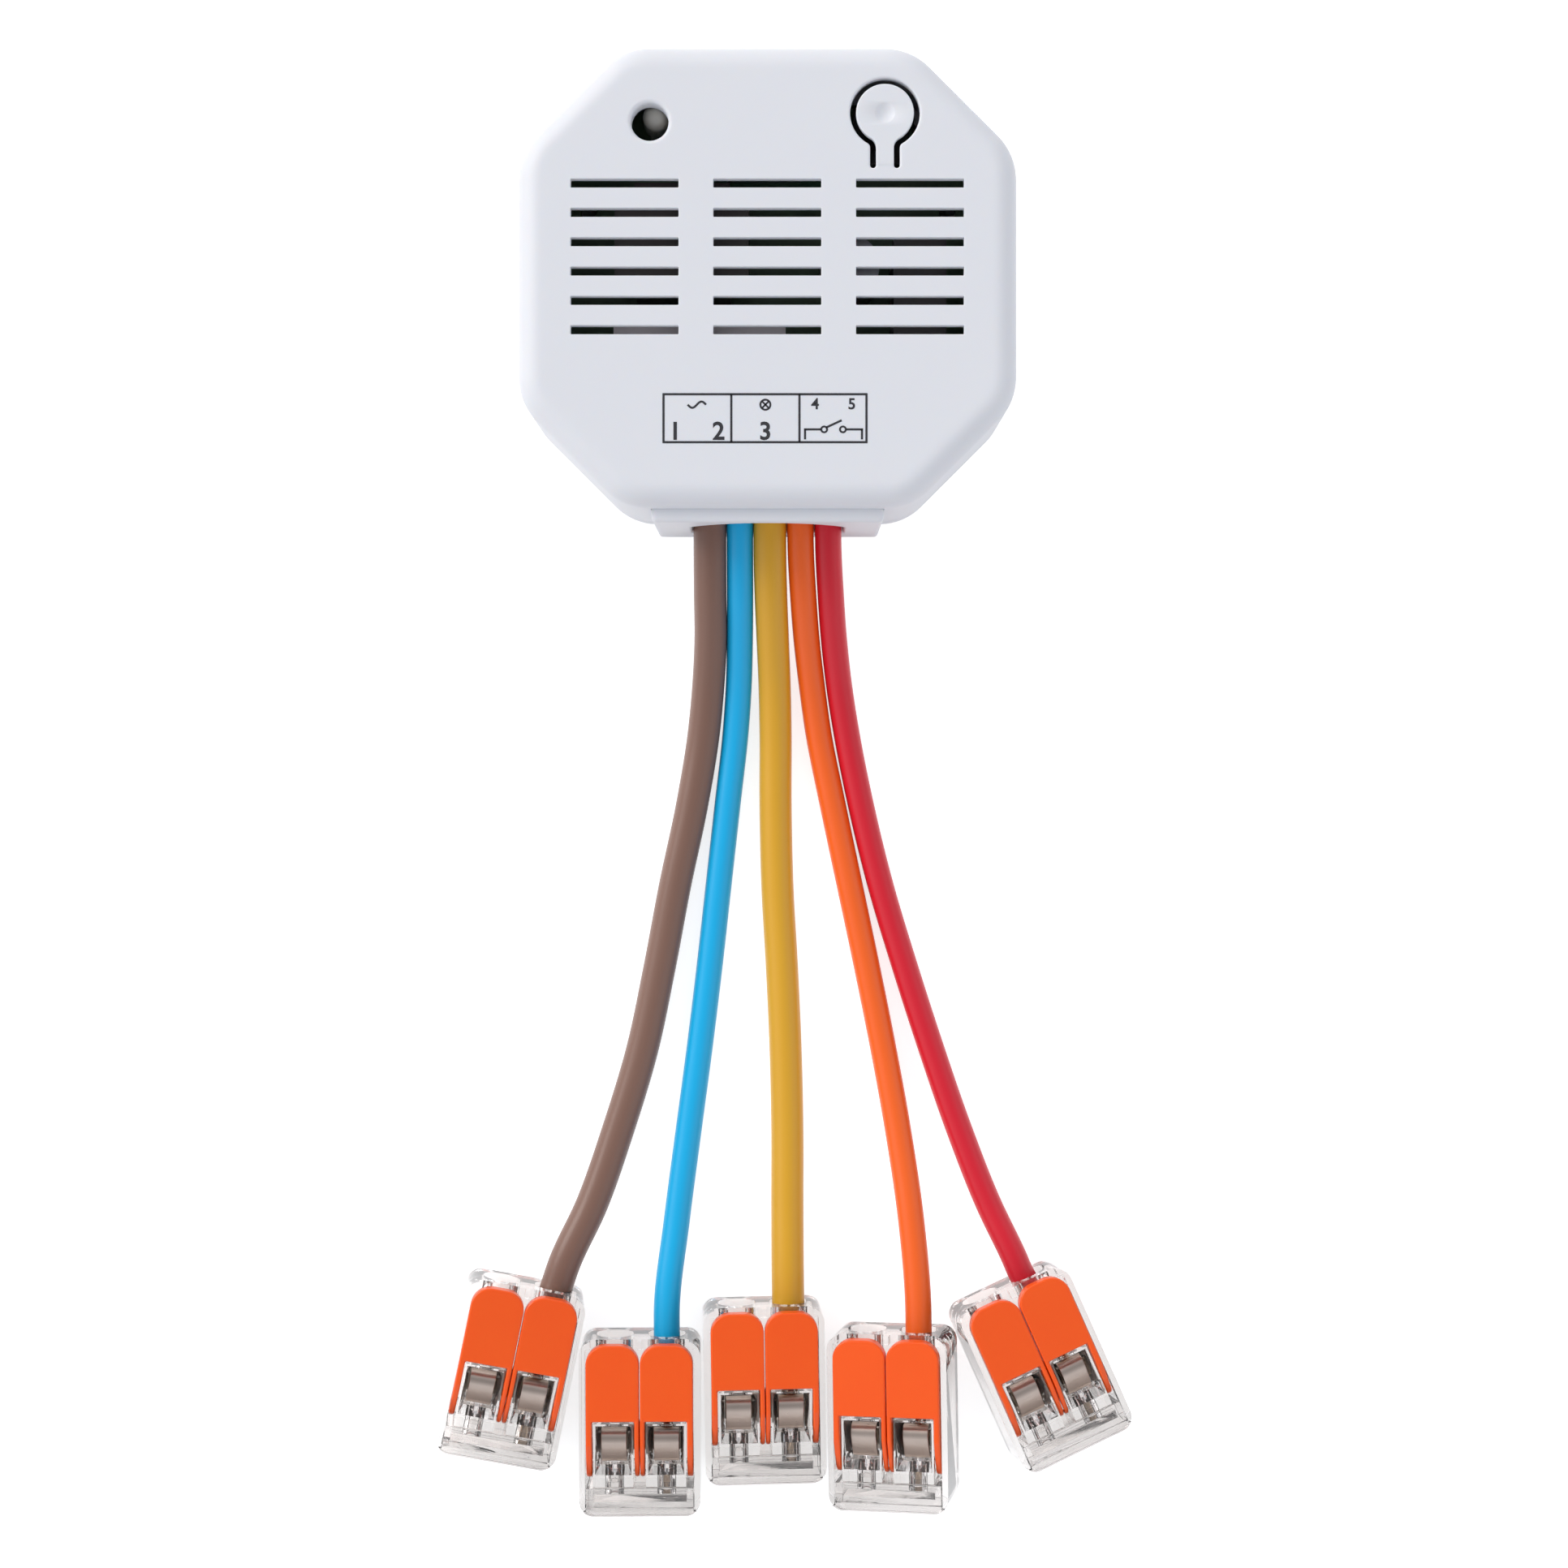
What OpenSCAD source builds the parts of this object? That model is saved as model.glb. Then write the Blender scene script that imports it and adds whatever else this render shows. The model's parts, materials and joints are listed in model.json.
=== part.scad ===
// Flush-mount smart relay module with five coloured leads, each ending in a two-way lever splice.
// Millimetres. Origin at the centre of the module's back face, +Z out of its front, leads toward -Y.

/* [Module case] */
// Width of the case
case_w = 52; // [50:0.5:60]
// Length of the case without the lead collar
case_l = 48; // [46:0.5:56]
// Thickness from the back face to the front face
case_h = 20; // [19.5:0.5:24]
// Leg of each 45 degree corner cut
corner_cut = 11; // [9:0.5:12]
// Radius where a corner cut meets a side
corner_r = 6.5; // [5:0.5:8]
// Round-over of the front edge
edge_r = 2.5; // [1:0.1:3]
// Side wall of the front cover
cover_wall = 1.6; // [1.2:0.1:1.8]
// Front wall of the cover
front_t = 1.2; // [1:0.1:2]
// Floor of the rear case
floor_t = 1.8; // [1.2:0.1:2.2]
// Outer rim of the rear case, on which the cover sits
rim_h = 3; // [2.4:0.1:4]
// Wall of the rear case's lip inside the cover
lip_t = 1.2; // [0.8:0.1:1.4]
// Height of that lip above the rim
lip_h = 3; // [2:0.1:5]
// Clearance between moulded pieces that fit together
fit_gap = 0.1; // [0.05:0.01:0.15]

/* [Vents and indicator] */
// Columns of vent slots
vent_cols = 3; // [1:1:3]
// Rows of vent slots
vent_rows = 6; // [1:1:6]
// Length of a vent slot
vent_w = 11; // [8:0.5:13]
// Height of a vent slot
vent_h = 0.9; // [0.6:0.1:1.4]
// Spacing of the columns
vent_pitch_x = 14.8; // [14:0.1:15]
// Spacing of the rows
vent_pitch_y = 3.04; // [2:0.02:3.2]
// Distance of the middle of the vent field from the top edge
vent_from_top = 22.1; // [22:0.1:26]
// Diameter of the indicator hole
led_hole_d = 3.9; // [3:0.1:5]
// Indicator hole, distance from the left side
led_from_side = 13.8; // [12:0.1:16]
// Indicator hole, distance from the top edge
led_from_top = 8.1; // [7:0.1:9]
// Diameter of the indicator lamp
led_d = 3; // [2:0.1:3.2]

/* [Button] */
// Diameter of the button's disc
button_d = 6; // [5:0.1:6.4]
// Slot around the button
button_slot = 0.6; // [0.4:0.05:0.8]
// Width of the neck that carries the disc
neck_w = 1.85; // [1.4:0.05:2.4]
// Length from the disc's centre to the neck's root
neck_l = 5.6; // [5:0.1:6]
// Thickness of the neck
neck_t = 0.8; // [0.6:0.1:0.8]
// Thickness of the disc
disc_t = 1.2; // [1:0.1:1.8]
// Button, distance from the right side
button_from_side = 13.8; // [13:0.1:15]
// Button, distance from the top edge
button_from_top = 7.2; // [6.8:0.1:8]
// Diameter of the post under the disc
post_d = 2.4; // [1.6:0.1:3]
// Length of that post
post_l = 2; // [1:0.1:4]
// Gap between the post and the switch plunger
press_gap = 0.15; // [0.12:0.01:0.3]
// Running clearance of the small pivots
pivot_gap = 0.05; // [0.02:0.01:0.1]

/* [Lead collar] */
// Width of the collar around the leads
collar_w = 24.3; // [20:0.1:26]
// How far the collar stands out of the case
collar_out = 1.4; // [1:0.1:3]
// How far the collar reaches into the case
collar_in = 3; // [2.5:0.1:3.2]
// How far the collar stays below the front face
collar_drop = 2.5; // [2.4:0.1:4]
// Width of the arched mouth
mouth_w = 16.4; // [16.2:0.1:18]
// Wall of the collar above the arch's crown
mouth_bridge = 1.3; // [1:0.1:2]
// Rise of the arch from the mouth's sides to its crown
mouth_rise = 4.7; // [3:0.1:5]
// Depth of the flared outer part of the mouth
mouth_flare = 1.6; // [1:0.1:2.5]
// Clearance of the leads in the collar
lead_gap = 0.2; // [0.1:0.05:0.4]

/* [Leads] */
// Diameter of the heavy leads
heavy_d = 3.4; // [3:0.1:3.5]
// Diameter of the light leads
light_d = 2.8; // [2.4:0.1:3]
// Diameter of the heavy leads' stranded core
heavy_core_d = 1.8; // [1.4:0.1:2]
// Diameter of the light leads' stranded core
light_core_d = 1.3; // [1:0.1:1.8]
// Length of core soldered on the board
tail_l = 4.4; // [3:0.1:5]

/* [Circuit board] */
// Thickness of the circuit board
board_t = 1.6; // [1:0.1:2]
// Height of the posts under the board
post_h = 2.6; // [2:0.1:3]
// Diameter of the board posts
board_post_d = 3.4; // [3:0.1:4]
// Diameter of the locating pins on the posts
board_pin_d = 1.6; // [1:0.1:2]
// Distance of the board posts from the case's sides
post_from_side = 6.5; // [6.3:0.1:8]
// Distance of the board posts from the case's ends
post_from_end = 14.5; // [14:0.1:17]
// Gap between the board's edge and the lip
board_gap = 0.4; // [0.2:0.05:0.6]

/* [Relay] */
// Length of the relay
relay_l = 18; // [17.6:0.1:19]
// Width of the relay
relay_w = 10.5; // [10:0.1:11]
// Gap between the relay and the cover
relay_clear = 1.4; // [1:0.1:1.6]
// Wall of the relay's cover
relay_wall = 0.5; // [0.4:0.05:0.6]
// Thickness of the relay's base
relay_base_t = 1.5; // [1:0.1:1.8]
// Diameter of the coil
coil_d = 7.2; // [6.4:0.1:7.6]
// Diameter of the coil's iron core
core_d = 2.6; // [2:0.1:3]
// Thickness of the yoke and the armature
iron_t = 0.8; // [0.6:0.05:0.9]
// Gap between the armature and the core
pull_gap = 0.6; // [0.5:0.05:0.8]

/* [Splice] */
// Width of a splice
splice_w = 13.1; // [12.9:0.05:13.2]
// Length of a splice
splice_l = 18.9; // [18.5:0.1:20]
// Height of a splice over its closed levers
splice_h = 8.3; // [8.2:0.1:9]
// Height of its side walls
side_h = 7.6; // [7.4:0.1:7.8]
// Side and back wall
splice_wall = 0.65; // [0.5:0.05:0.7]
// Floor of the splice
splice_floor = 1; // [0.6:0.1:1.1]
// Corner radius of the splice's outline
splice_r = 1.6; // [0.8:0.1:2]
// Height of the entry block under the levers
entry_h = 6.5; // [6:0.1:6.6]
// Length of the entry block
entry_l = 3.25; // [2.6:0.05:4]
// Diameter of a wire port
port_d = 4.2; // [4:0.1:4.6]
// Height of a port's axis
port_z = 3.2; // [3.1:0.1:3.4]
// Distance of a port's axis from the middle
pole_u = 2.85; // [2.8:0.01:2.9]
// Length of the clear back cap
cap_l = 3.05; // [2.9:0.05:3.1]
// Height of the back cap
cap_h = 7.8; // [7.4:0.1:7.9]
// Wall of the back cap
cap_wall = 0.7; // [0.5:0.05:0.9]
// Width of the posts beside the lever tips
guard_w = 0.55; // [0.45:0.05:0.6]
// Length of those posts
guard_l = 0.95; // [0.8:0.05:1]

/* [Lever] */
// Thickness of a lever's plate
lever_t = 1.5; // [1.2:0.05:1.6]
// Clearance between levers and beside them
lever_gap = 0.1; // [0.06:0.01:0.12]
// Distance of the lever's tip behind the entry face
lever_back = 0.35; // [0.3:0.05:0.4]
// Corner radius of the lever's tip
lever_tip_r = 2.1; // [2:0.05:2.4]
// Length of the plate from the tip to the window
plate_l = 8.25; // [7:0.05:8.5]
// Length from the tip to the pivot
pivot_l = 13.4; // [13.2:0.05:13.45]
// Height of the pivot
pivot_z = 6; // [5.8:0.05:6.2]
// Outer arm of a lever
outer_arm = 0.65; // [0.6:0.05:0.8]
// Inner arm of a lever
inner_arm = 0.5; // [0.4:0.05:0.6]
// Radius of the arm's round end
arm_r = 1.2; // [1.1:0.05:1.3]
// Diameter of the stub pins that the levers turn on
stub_d = 1.4; // [1:0.05:1.5]
// Distance from the pivot to where the arm's back starts to slope
slope_l = 2.6; // [2.4:0.1:3]

/* [Clamp] */
// Wall of the clear box around a clamp
box_wall = 0.65; // [0.6:0.05:0.7]
// Solid back of that box
back_wall = 2; // [1.8:0.05:2.05]
// How far the box's window slopes back to its rim
back_slope = 0.7; // [0.5:0.05:0.9]
// Wall of that box at its rim
rim_wall = 0.2; // [0.15:0.05:0.3]
// Height over which the box's wall thins to its rim
funnel_h = 1.9; // [1.5:0.1:2]
// Gap between the box and the lever's arms
arm_gap = 0.12; // [0.08:0.01:0.15]
// Thickness of the clamp's spring strip
strip_t = 0.4; // [0.3:0.05:0.5]
// Clearance beside the strip in its box
strip_gap = 0.15; // [0.1:0.05:0.25]
// Radius of the strip's bends at mid thickness
strip_r = 0.9; // [0.7:0.05:1]
// Gap of the strip under the box's rim
strip_drop = 1.1; // [0.9:0.05:1.2]
// How far the strip's top falls toward the back
strip_fall = 0.8; // [0.6:0.05:0.9]
// Thickness of the busbar
bus_t = 0.8; // [0.6:0.05:1]
// Length of the busbar along the wires
bus_l = 3.2; // [2.8:0.1:3.4]

/* [Hidden] */
$fn = 48;
// Overlap of cutting shapes past a surface
cut = 1;
// Colours of the five leads and splices, from left to right
wires = ["brown", "blue", "yellow", "orange", "red"];
paint = ["#7d6a5f", "#2fa6e6", "#d2a832", "#f4682c", "#d51f33"];
is_heavy = [true, false, true, false, false];
// Where each lead leaves the collar, across the case
lead_x = [-6.3, -3.05, 0.2, 3.5, 6.5];
// Where each splice lies: centre x and y, turn about the vertical, tilt about its length
splice_at = [
    [-28.53, -116.55, -11.5, 6],
    [-13.99, -122.52, 0.2, 0.7],
    [-0.66, -119, 0.9, 2.7],
    [14.47, -121.75, 0.9, -12.4],
    [29.21, -116.43, 24, 7.2]
];
// Free route of each lead over the table, from the collar to its splice
routes = [
    [[-6.3, -27.5, 6.9], [-6.3, -32, 6.1], [-6.3, -37, 4.4], [-6.6, -42, 2.8], [-7.1, -47, 2],
        [-8.4, -55, 1.8], [-10.3, -64, 1.8], [-12, -73, 1.8], [-13.9, -82, 1.8], [-16.6, -91, 2.1],
        [-19.4, -99, 2.8]],
    [[-3.05, -27.5, 6.8], [-3.05, -32, 6], [-3.1, -37, 4.2], [-3.25, -42, 2.6], [-3.6, -47, 1.8],
        [-4.5, -55, 1.5], [-5.5, -64, 1.5], [-6.5, -73, 1.5], [-7.6, -82, 1.5], [-8.8, -91, 1.7],
        [-10.1, -101, 2.4]],
    [[0.2, -27.5, 6.9], [0.3, -32, 6.1], [0.5, -37, 4.4], [0.7, -42, 2.8], [0.8, -47, 2],
        [0.8, -55, 1.8], [1, -64, 1.8], [1.5, -73, 1.8], [1.9, -82, 1.8], [2.1, -91, 2],
        [2.1, -99, 2.6]],
    [[3.55, -27.5, 6.8], [3.8, -32, 6], [4.2, -37, 4.2], [4.8, -42, 2.6], [5.5, -47, 1.8],
        [7.1, -55, 1.5], [9, -64, 1.5], [10.9, -73, 1.5], [12.7, -82, 1.7], [14.3, -91, 2.7],
        [15.7, -101, 4.3]],
    [[6.55, -27.5, 6.8], [6.8, -32, 6], [7.2, -37, 4.2], [7.8, -42, 2.6], [8.6, -47, 1.8],
        [10.2, -55, 1.5], [12.4, -64, 1.5], [15.1, -73, 1.5], [18, -82, 1.6], [21.1, -91, 2.1],
        [24.25, -99, 2.9]]
];
// Straight run of a lead in front of its port
port_run = 2.5;
// How far each lead lies beside its port's axis at the mouth, and its angle to that axis there
port_shift = [0.3, 0, 0, 0, -0.5];
port_slant = [7, 0, 0, 0, 0];
// Rings of a lead's tube have this many sides
lead_sides = 8;

// Heights in the case
board_z = floor_t + post_h;
board_top = board_z + board_t;
lead_z = board_top + heavy_core_d / 2 + pivot_gap;
cover_inside = case_h - front_t;
room_h = cover_inside - board_top;
collar_h = case_h - collar_drop;
mouth_top = collar_h - mouth_bridge;
sill_z = lead_z - heavy_d / 2 - lead_gap;
slot_top = lead_z + heavy_d / 2 + lead_gap;
lip_inset = cover_wall + fit_gap;
board_inset = lip_inset + lip_t + board_gap;
board_end = board_inset - case_l / 2;
collar_face = -case_l / 2 - collar_out;
collar_back = -case_l / 2 + collar_in;
board_posts = [for (x = [-1, 1], y = [-1, 1])
    [x * (case_w / 2 - post_from_side), y * (case_l / 2 - post_from_end)]];
snap_l = 6;
snap_t = 0.5;
snap_h = 0.8;
collar_r = 1;
// Steps of the round-over, as angles up from the side wall
round_steps = [30, 60, 90];
// Straight start of a lead inside the collar's outer face
exit_in = 0.4;

// Button and its switch
button_right = case_w / 2 - button_from_side;
button_up = case_l / 2 - button_from_top;
root_y = button_up - neck_l;
root_z = case_h - neck_t / 2;
plunger_top = case_h - disc_t - post_l - press_gap;
plunger_d = 3.4;
switch_w = 6;
switch_h = 3.5;
switch_well = 0.6;
plunger_lift = 0.6;
dimple_d = 2.2;
dimple_depth = 0.25;

// Relay parts, around the relay's own middle
relay_gap = 1.65;
relay_at = [-7.1, board_end + tail_l + relay_gap + relay_w / 2];
relay_h = room_h - relay_clear;
relay_top = board_top + relay_h;
relay_in_l = relay_l - 2 * relay_wall;
relay_in_w = relay_w - 2 * relay_wall;
iron_z = board_top + relay_base_t;
// Clearances around the coil: to the cover's end, to the yoke, and under the core's top
coil_end_gap = 0.6;
coil_side_gap = 0.4;
coil_drop = 0.3;
// The armature's axis below the relay's top, the yoke's top below it and the armature above it
axis_drop = 2.25;
yoke_drop = 0.15;
armature_rise = 0.1;
coil_x = -relay_in_l / 2 + coil_d / 2 + coil_end_gap;
yoke_x = coil_x + coil_d / 2 + coil_side_gap;
yoke_w = 7;
bead_r = 0.4;
axis_x = yoke_x + iron_t / 2;
axis_z = relay_top - axis_drop;
yoke_top = axis_z - yoke_drop;
armature_z = axis_z + armature_rise;
armature_t = 0.7;
armature_w = 6;
core_top = armature_z - pull_gap;
coil_top = core_top - coil_drop;
blade_t = 0.4;
blade_l = 4;
contact_d = 1.6;
contact_t = 0.2;
contact_gap = 0.35;
contact_reach = 1;

// Lamp on its two legs, beside the indicator hole's middle
led_at = [led_from_side - case_w / 2, case_l / 2 - led_from_top];
lamp_shift = [0.6, 1.3];
lamp_at = led_at + lamp_shift;
lamp_drop = 1.1;
lamp_top = cover_inside - lamp_drop;
lamp_l = 4.6;
lamp_leg_t = 0.5;
lamp_leg_pitch = 1.6;

// Other parts on the board: middle in plan, sizes, and gaps to what they stand beside or under
film_from_edge = 6.7;
film_clear = 2.3;
film_at = [case_w / 2 - board_inset - film_from_edge, -1.5];
film_size = [5.5, 12.6, room_h - film_clear];
smoother_d = 6.3;
smoother_gap = 1.5;
smoother_clear = 1.8;
smoother_at = [film_at.x - film_size.x / 2 - smoother_gap - smoother_d / 2, 1.6];
smoother_h = room_h - smoother_clear;
fuse_d = 3.2;
fuse_l = 8;
fuse_cap_l = 1.6;
fuse_neck = 0.2;
fuse_gap = 3.65;
fuse_at = [film_at.x - film_size.x / 2 - fuse_gap - fuse_d / 2, -9.5];
radio_gap = 3.15;
radio_from_top = 8.6;
radio_x0 = lamp_at.x + led_d / 2 + radio_gap;
radio_x1 = button_right - switch_w / 2 - radio_gap;
radio_at = [(radio_x0 + radio_x1) / 2, case_l / 2 - radio_from_top];
radio_size = [radio_x1 - radio_x0, 8, 1];
shield_margin = [2.5, 1];
shield_h = 2;
shield_size = [radio_size.x - 2 * shield_margin.x, radio_size.y - 2 * shield_margin.y, shield_h];
transformer_gap = [2.95, 1];
transformer_clear = 1.8;
transformer_y0 = relay_at.y + relay_w / 2 + transformer_gap[0];
transformer_y1 = radio_at.y - radio_size.y / 2 - transformer_gap[1];
transformer_at = [-9, (transformer_y0 + transformer_y1) / 2];
transformer_size = [14, transformer_y1 - transformer_y0, room_h - transformer_clear];
transformer_step = [4, 3, 1];

// Splice parts, in the splice's own frame: u across, v toward the entry, z up.
// Small distances in a splice: the box behind the lever's plate and before the cap, the strip above
// the core, the busbar before the strip, the core in its way and past the box, the jacket in its port
plate_gap = 0.35;
cap_gap = 0.1;
strip_clear = 0.25;
bus_clear = 0.2;
core_room = 0.3;
core_past = 0.6;
jacket_in = 0.4;
// Length of a jacket's end that lies on its port's axis
jacket_seat = 0.3;
// Lean of the strip's end against the wire, and the height of its window's sill over the floor
strip_lean = 35;
sill_h = 0.6;
entry_v = splice_l / 2;
tip_v = entry_v - lever_back;
pivot_v = tip_v - pivot_l;
window_v = tip_v - plate_l;
inner_u = lever_gap / 2;
lever_w = splice_w / 2 - splice_wall - lever_gap - inner_u;
box_u0 = inner_u + inner_arm + arm_gap;
box_u1 = inner_u + lever_w - outer_arm - arm_gap;
box_v0 = cap_l - splice_l / 2 + cap_gap;
box_v1 = window_v - plate_gap;
room_v0 = box_v0 + back_wall;
strip_w = box_u1 - box_u0 - 2 * (box_wall + strip_gap);
strip_u = (box_u0 + box_u1) / 2;
strip_top = side_h - strip_drop;
strip_v0 = room_v0 + strip_gap + strip_t / 2;
strip_v1 = box_v1 - box_wall - strip_gap - strip_t / 2;
strip_end_z = port_z + heavy_core_d / 2 + strip_clear;
bus_top = port_z - heavy_core_d / 2 - pivot_gap;
bus_v0 = strip_v0 + strip_t / 2 + bus_clear;
core_way_d = heavy_core_d + core_room;
core_end_v = box_v0 - core_past;
jacket_v = entry_v - entry_l + jacket_in;

function jacket_d(i) = is_heavy[i] ? heavy_d : light_d;
function strands_d(i) = is_heavy[i] ? heavy_core_d : light_core_d;
function unit(v) = v / norm(v);

// A point of splice i's own frame in the module's frame
function tilted(p, a) = [p.x * cos(a) + p.z * sin(a), p.y, p.z * cos(a) - p.x * sin(a)];
function turned(p, a) = [p.x * cos(a) - p.y * sin(a), p.x * sin(a) + p.y * cos(a), p.z];
function splice_lift(i) = splice_w / 2 * abs(sin(splice_at[i][3]));
function in_splice(i, p) =
    [splice_at[i].x, splice_at[i].y, splice_lift(i)] + turned(tilted(p, splice_at[i][3]), splice_at[i][2]);

// Centreline of lead i, from the board's edge to inside its port
function lead_line(i) = concat(
    [[lead_x[i], board_end - fit_gap, lead_z], [lead_x[i], collar_face + exit_in, lead_z]],
    routes[i],
    [in_splice(i, [pole_u + port_shift[i] + port_run * tan(port_slant[i]), entry_v + port_run, port_z]),
        in_splice(i, [pole_u + port_shift[i], entry_v, port_z]),
        in_splice(i, [pole_u, jacket_v + jacket_seat, port_z]),
        in_splice(i, [pole_u, jacket_v, port_z])]
);

// Direction of a line at its point k
function heading(line, k) =
    unit(line[min(k + 1, len(line) - 1)] - line[max(k - 1, 0)]);
// One ring of a tube of radius r around point k of a line
function ring(line, k, r, sides) =
    let (d = heading(line, k), side = unit(cross(d, [0, 0, 1])), up = cross(side, d))
    [for (j = [0:sides - 1]) line[k] + r * (cos(j * 360 / sides) * side + sin(j * 360 / sides) * up)];

// A closed tube swept along a line
module tube(line, r, sides) {
    rings = len(line);
    points = [for (k = [0:rings - 1]) each ring(line, k, r, sides)];
    walls = [for (k = [0:rings - 2], j = [0:sides - 1])
        let (a = k * sides, b = a + sides, n = (j + 1) % sides)
        each [[a + j, a + n, b + j], [a + n, b + n, b + j]]];
    near = [for (j = [1:sides - 2]) [0, j + 1, j]];
    last = (rings - 1) * sides;
    far = [for (j = [1:sides - 2]) [last, last + j, last + j + 1]];
    polyhedron(points, concat(walls, near, far));
}

// Half sides of the corner-cut outline drawn in by the corner radius
function octagon(w, l, c) = [
    [w - c, l], [c - w, l], [-w, l - c], [-w, c - l], [c - w, -l], [w - c, -l], [w, c - l], [w, l - c]
];

// The case's rounded eight-sided outline, drawn in by an inset
module outline(inset) {
    c = corner_cut - corner_r * (2 - sqrt(2));
    offset(r = corner_r - inset)
        polygon(octagon(case_w / 2 - corner_r, case_l / 2 - corner_r, c));
}

// A slab of the outline between two heights
module slab(inset, z0, z1) {
    translate([0, 0, z0]) linear_extrude(z1 - z0) outline(inset);
}

// A box given by its middle in plan, its foot and its size
module block(at, z, size) {
    translate([at.x - size.x / 2, at.y - size.y / 2, z]) cube(size);
}

// A rectangle with four true round corners
module rounded_rect(w, l, r) {
    square([w - 2 * r, l], center = true);
    square([w, l - 2 * r], center = true);
    for (x = [-1, 1], y = [-1, 1])
        translate([x * (w / 2 - r), y * (l / 2 - r)]) circle(r);
}

// A flat profile of the v-z plane, extruded across u from u0 to u1
module across(u0, u1) {
    translate([u0, 0, 0]) rotate([90, 0, 90]) linear_extrude(u1 - u0) children();
}

// A cylinder along v at a place in u and z
module along(u, z, v0, v1, d) {
    translate([u, v0, z]) rotate([-90, 0, 0]) cylinder(d = d, h = v1 - v0);
}

// The case's outer form, with the front edge rounded over
module case_form(z0) {
    hull() {
        slab(0, z0, case_h - edge_r);
        for (a = round_steps)
            slab(edge_r * (1 - cos(a)), case_h - edge_r, case_h - edge_r + edge_r * sin(a));
    }
}

// Small snap bumps on the lip, grown by a gap for their pockets
module snaps(gap) {
    z = rim_h + lip_h / 2;
    reach = case_w / 2 - lip_inset;
    top = case_l / 2 - lip_inset;
    for (s = [-1, 1])
        block([s * reach, 0], z - snap_h / 2 - gap,
            [2 * (snap_t + gap), snap_l + 2 * gap, snap_h + 2 * gap]);
    block([0, top], z - snap_h / 2 - gap,
        [snap_l + 2 * gap, 2 * (snap_t + gap), snap_h + 2 * gap]);
}

// Slot outline around the button, with room at its sides
module keyhole(room) {
    circle(d = button_d + 2 * room);
    translate([-neck_w / 2 - room, -neck_l]) square([neck_w + 2 * room, neck_l]);
}

// The neck's half-round root, which the button turns on
module neck_root(extra) {
    translate([button_right - neck_w / 2 - extra, root_y, root_z])
        rotate([0, 90, 0]) cylinder(r = neck_t / 2 + extra, h = neck_w + 2 * extra);
}

module front_cover() color("#dfe2e8") difference() {
    case_form(rim_h);
    slab(cover_wall, rim_h - cut, cover_inside);
    for (i = [0:vent_cols - 1], j = [0:vent_rows - 1])
        block([(i - (vent_cols - 1) / 2) * vent_pitch_x,
            case_l / 2 - vent_from_top + (j - (vent_rows - 1) / 2) * vent_pitch_y], cover_inside - cut,
            [vent_w, vent_h, front_t + 2 * cut]);
    translate([led_at.x, led_at.y, cover_inside - cut]) cylinder(d = led_hole_d, h = front_t + 2 * cut);
    translate([button_right, button_up, cover_inside - cut])
        linear_extrude(front_t + 2 * cut) keyhole(button_slot);
    neck_root(pivot_gap);
    block([0, -case_l / 2], rim_h - cut,
        [collar_w + 2 * fit_gap, 2 * collar_in, collar_h + fit_gap - rim_h + cut]);
    snaps(fit_gap);
}

// The arched mouth, seen along the leads
module arch() {
    r = (mouth_w * mouth_w / 4 + mouth_rise * mouth_rise) / (2 * mouth_rise);
    intersection() {
        translate([-mouth_w / 2, sill_z + fit_gap]) square([mouth_w, mouth_top - sill_z + cut]);
        translate([0, mouth_top - r]) circle(r);
    }
}

module rear_case() color("#d9d8d6") difference() {
    union() {
        slab(0, 0, rim_h);
        slab(lip_inset, rim_h, rim_h + lip_h);
        snaps(0);
        translate([0, (collar_face + collar_back) / 2, 0]) linear_extrude(collar_h)
            rounded_rect(collar_w, collar_back - collar_face, collar_r);
    }
    difference() {
        slab(lip_inset + lip_t, floor_t, rim_h + lip_h + cut);
        block([0, collar_back - case_l / 2], 0, [collar_w, case_l, case_h]);
        for (p = board_posts) translate(p) cylinder(d = board_post_d, h = board_z);
        for (p = board_posts) translate(p) cylinder(d = board_pin_d, h = board_top);
    }
    translate([0, collar_face + mouth_flare, 0]) rotate([90, 0, 0])
        linear_extrude(mouth_flare + cut) arch();
    block([0, (collar_face + collar_back) / 2], sill_z,
        [mouth_w - 2 * fit_gap, collar_back - collar_face + cut, slot_top - sill_z]);
}

module button() color("#dfe2e8") {
    difference() {
        union() {
            translate([button_right, button_up, case_h - disc_t]) cylinder(d = button_d, h = disc_t);
            block([button_right, button_up - neck_l / 2], case_h - neck_t, [neck_w, neck_l, neck_t]);
            neck_root(0);
        }
        ball_r = (dimple_d * dimple_d / 4 + dimple_depth * dimple_depth) / (2 * dimple_depth);
        translate([button_right, button_up, case_h + ball_r - dimple_depth]) sphere(ball_r);
    }
    translate([button_right, button_up, case_h - disc_t - post_l]) cylinder(d = post_d, h = post_l);
}

module circuit_board() color("#1d4a33") difference() {
    slab(board_inset, board_z, board_top);
    for (p = board_posts)
        translate([p.x, p.y, board_z - cut]) cylinder(d = board_pin_d + 2 * fit_gap, h = board_t + 2 * cut);
}

module relay_base() color("#2b2b2d")
    block(relay_at, board_top, [relay_in_l - 2 * fit_gap, relay_in_w - 2 * fit_gap, relay_base_t]);

module relay_cover() color("#c9c3c4") difference() {
    block(relay_at, board_top, [relay_l, relay_w, relay_h]);
    block(relay_at, board_top - cut, [relay_in_l, relay_in_w, relay_h - relay_wall + cut]);
}

module relay_coil() color("#b5652f") translate(relay_at) difference() {
    translate([coil_x, 0, iron_z + iron_t]) cylinder(d = coil_d, h = coil_top - iron_z - iron_t);
    translate([coil_x, 0, iron_z]) cylinder(d = core_d + 2 * fit_gap, h = relay_h);
}

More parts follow.
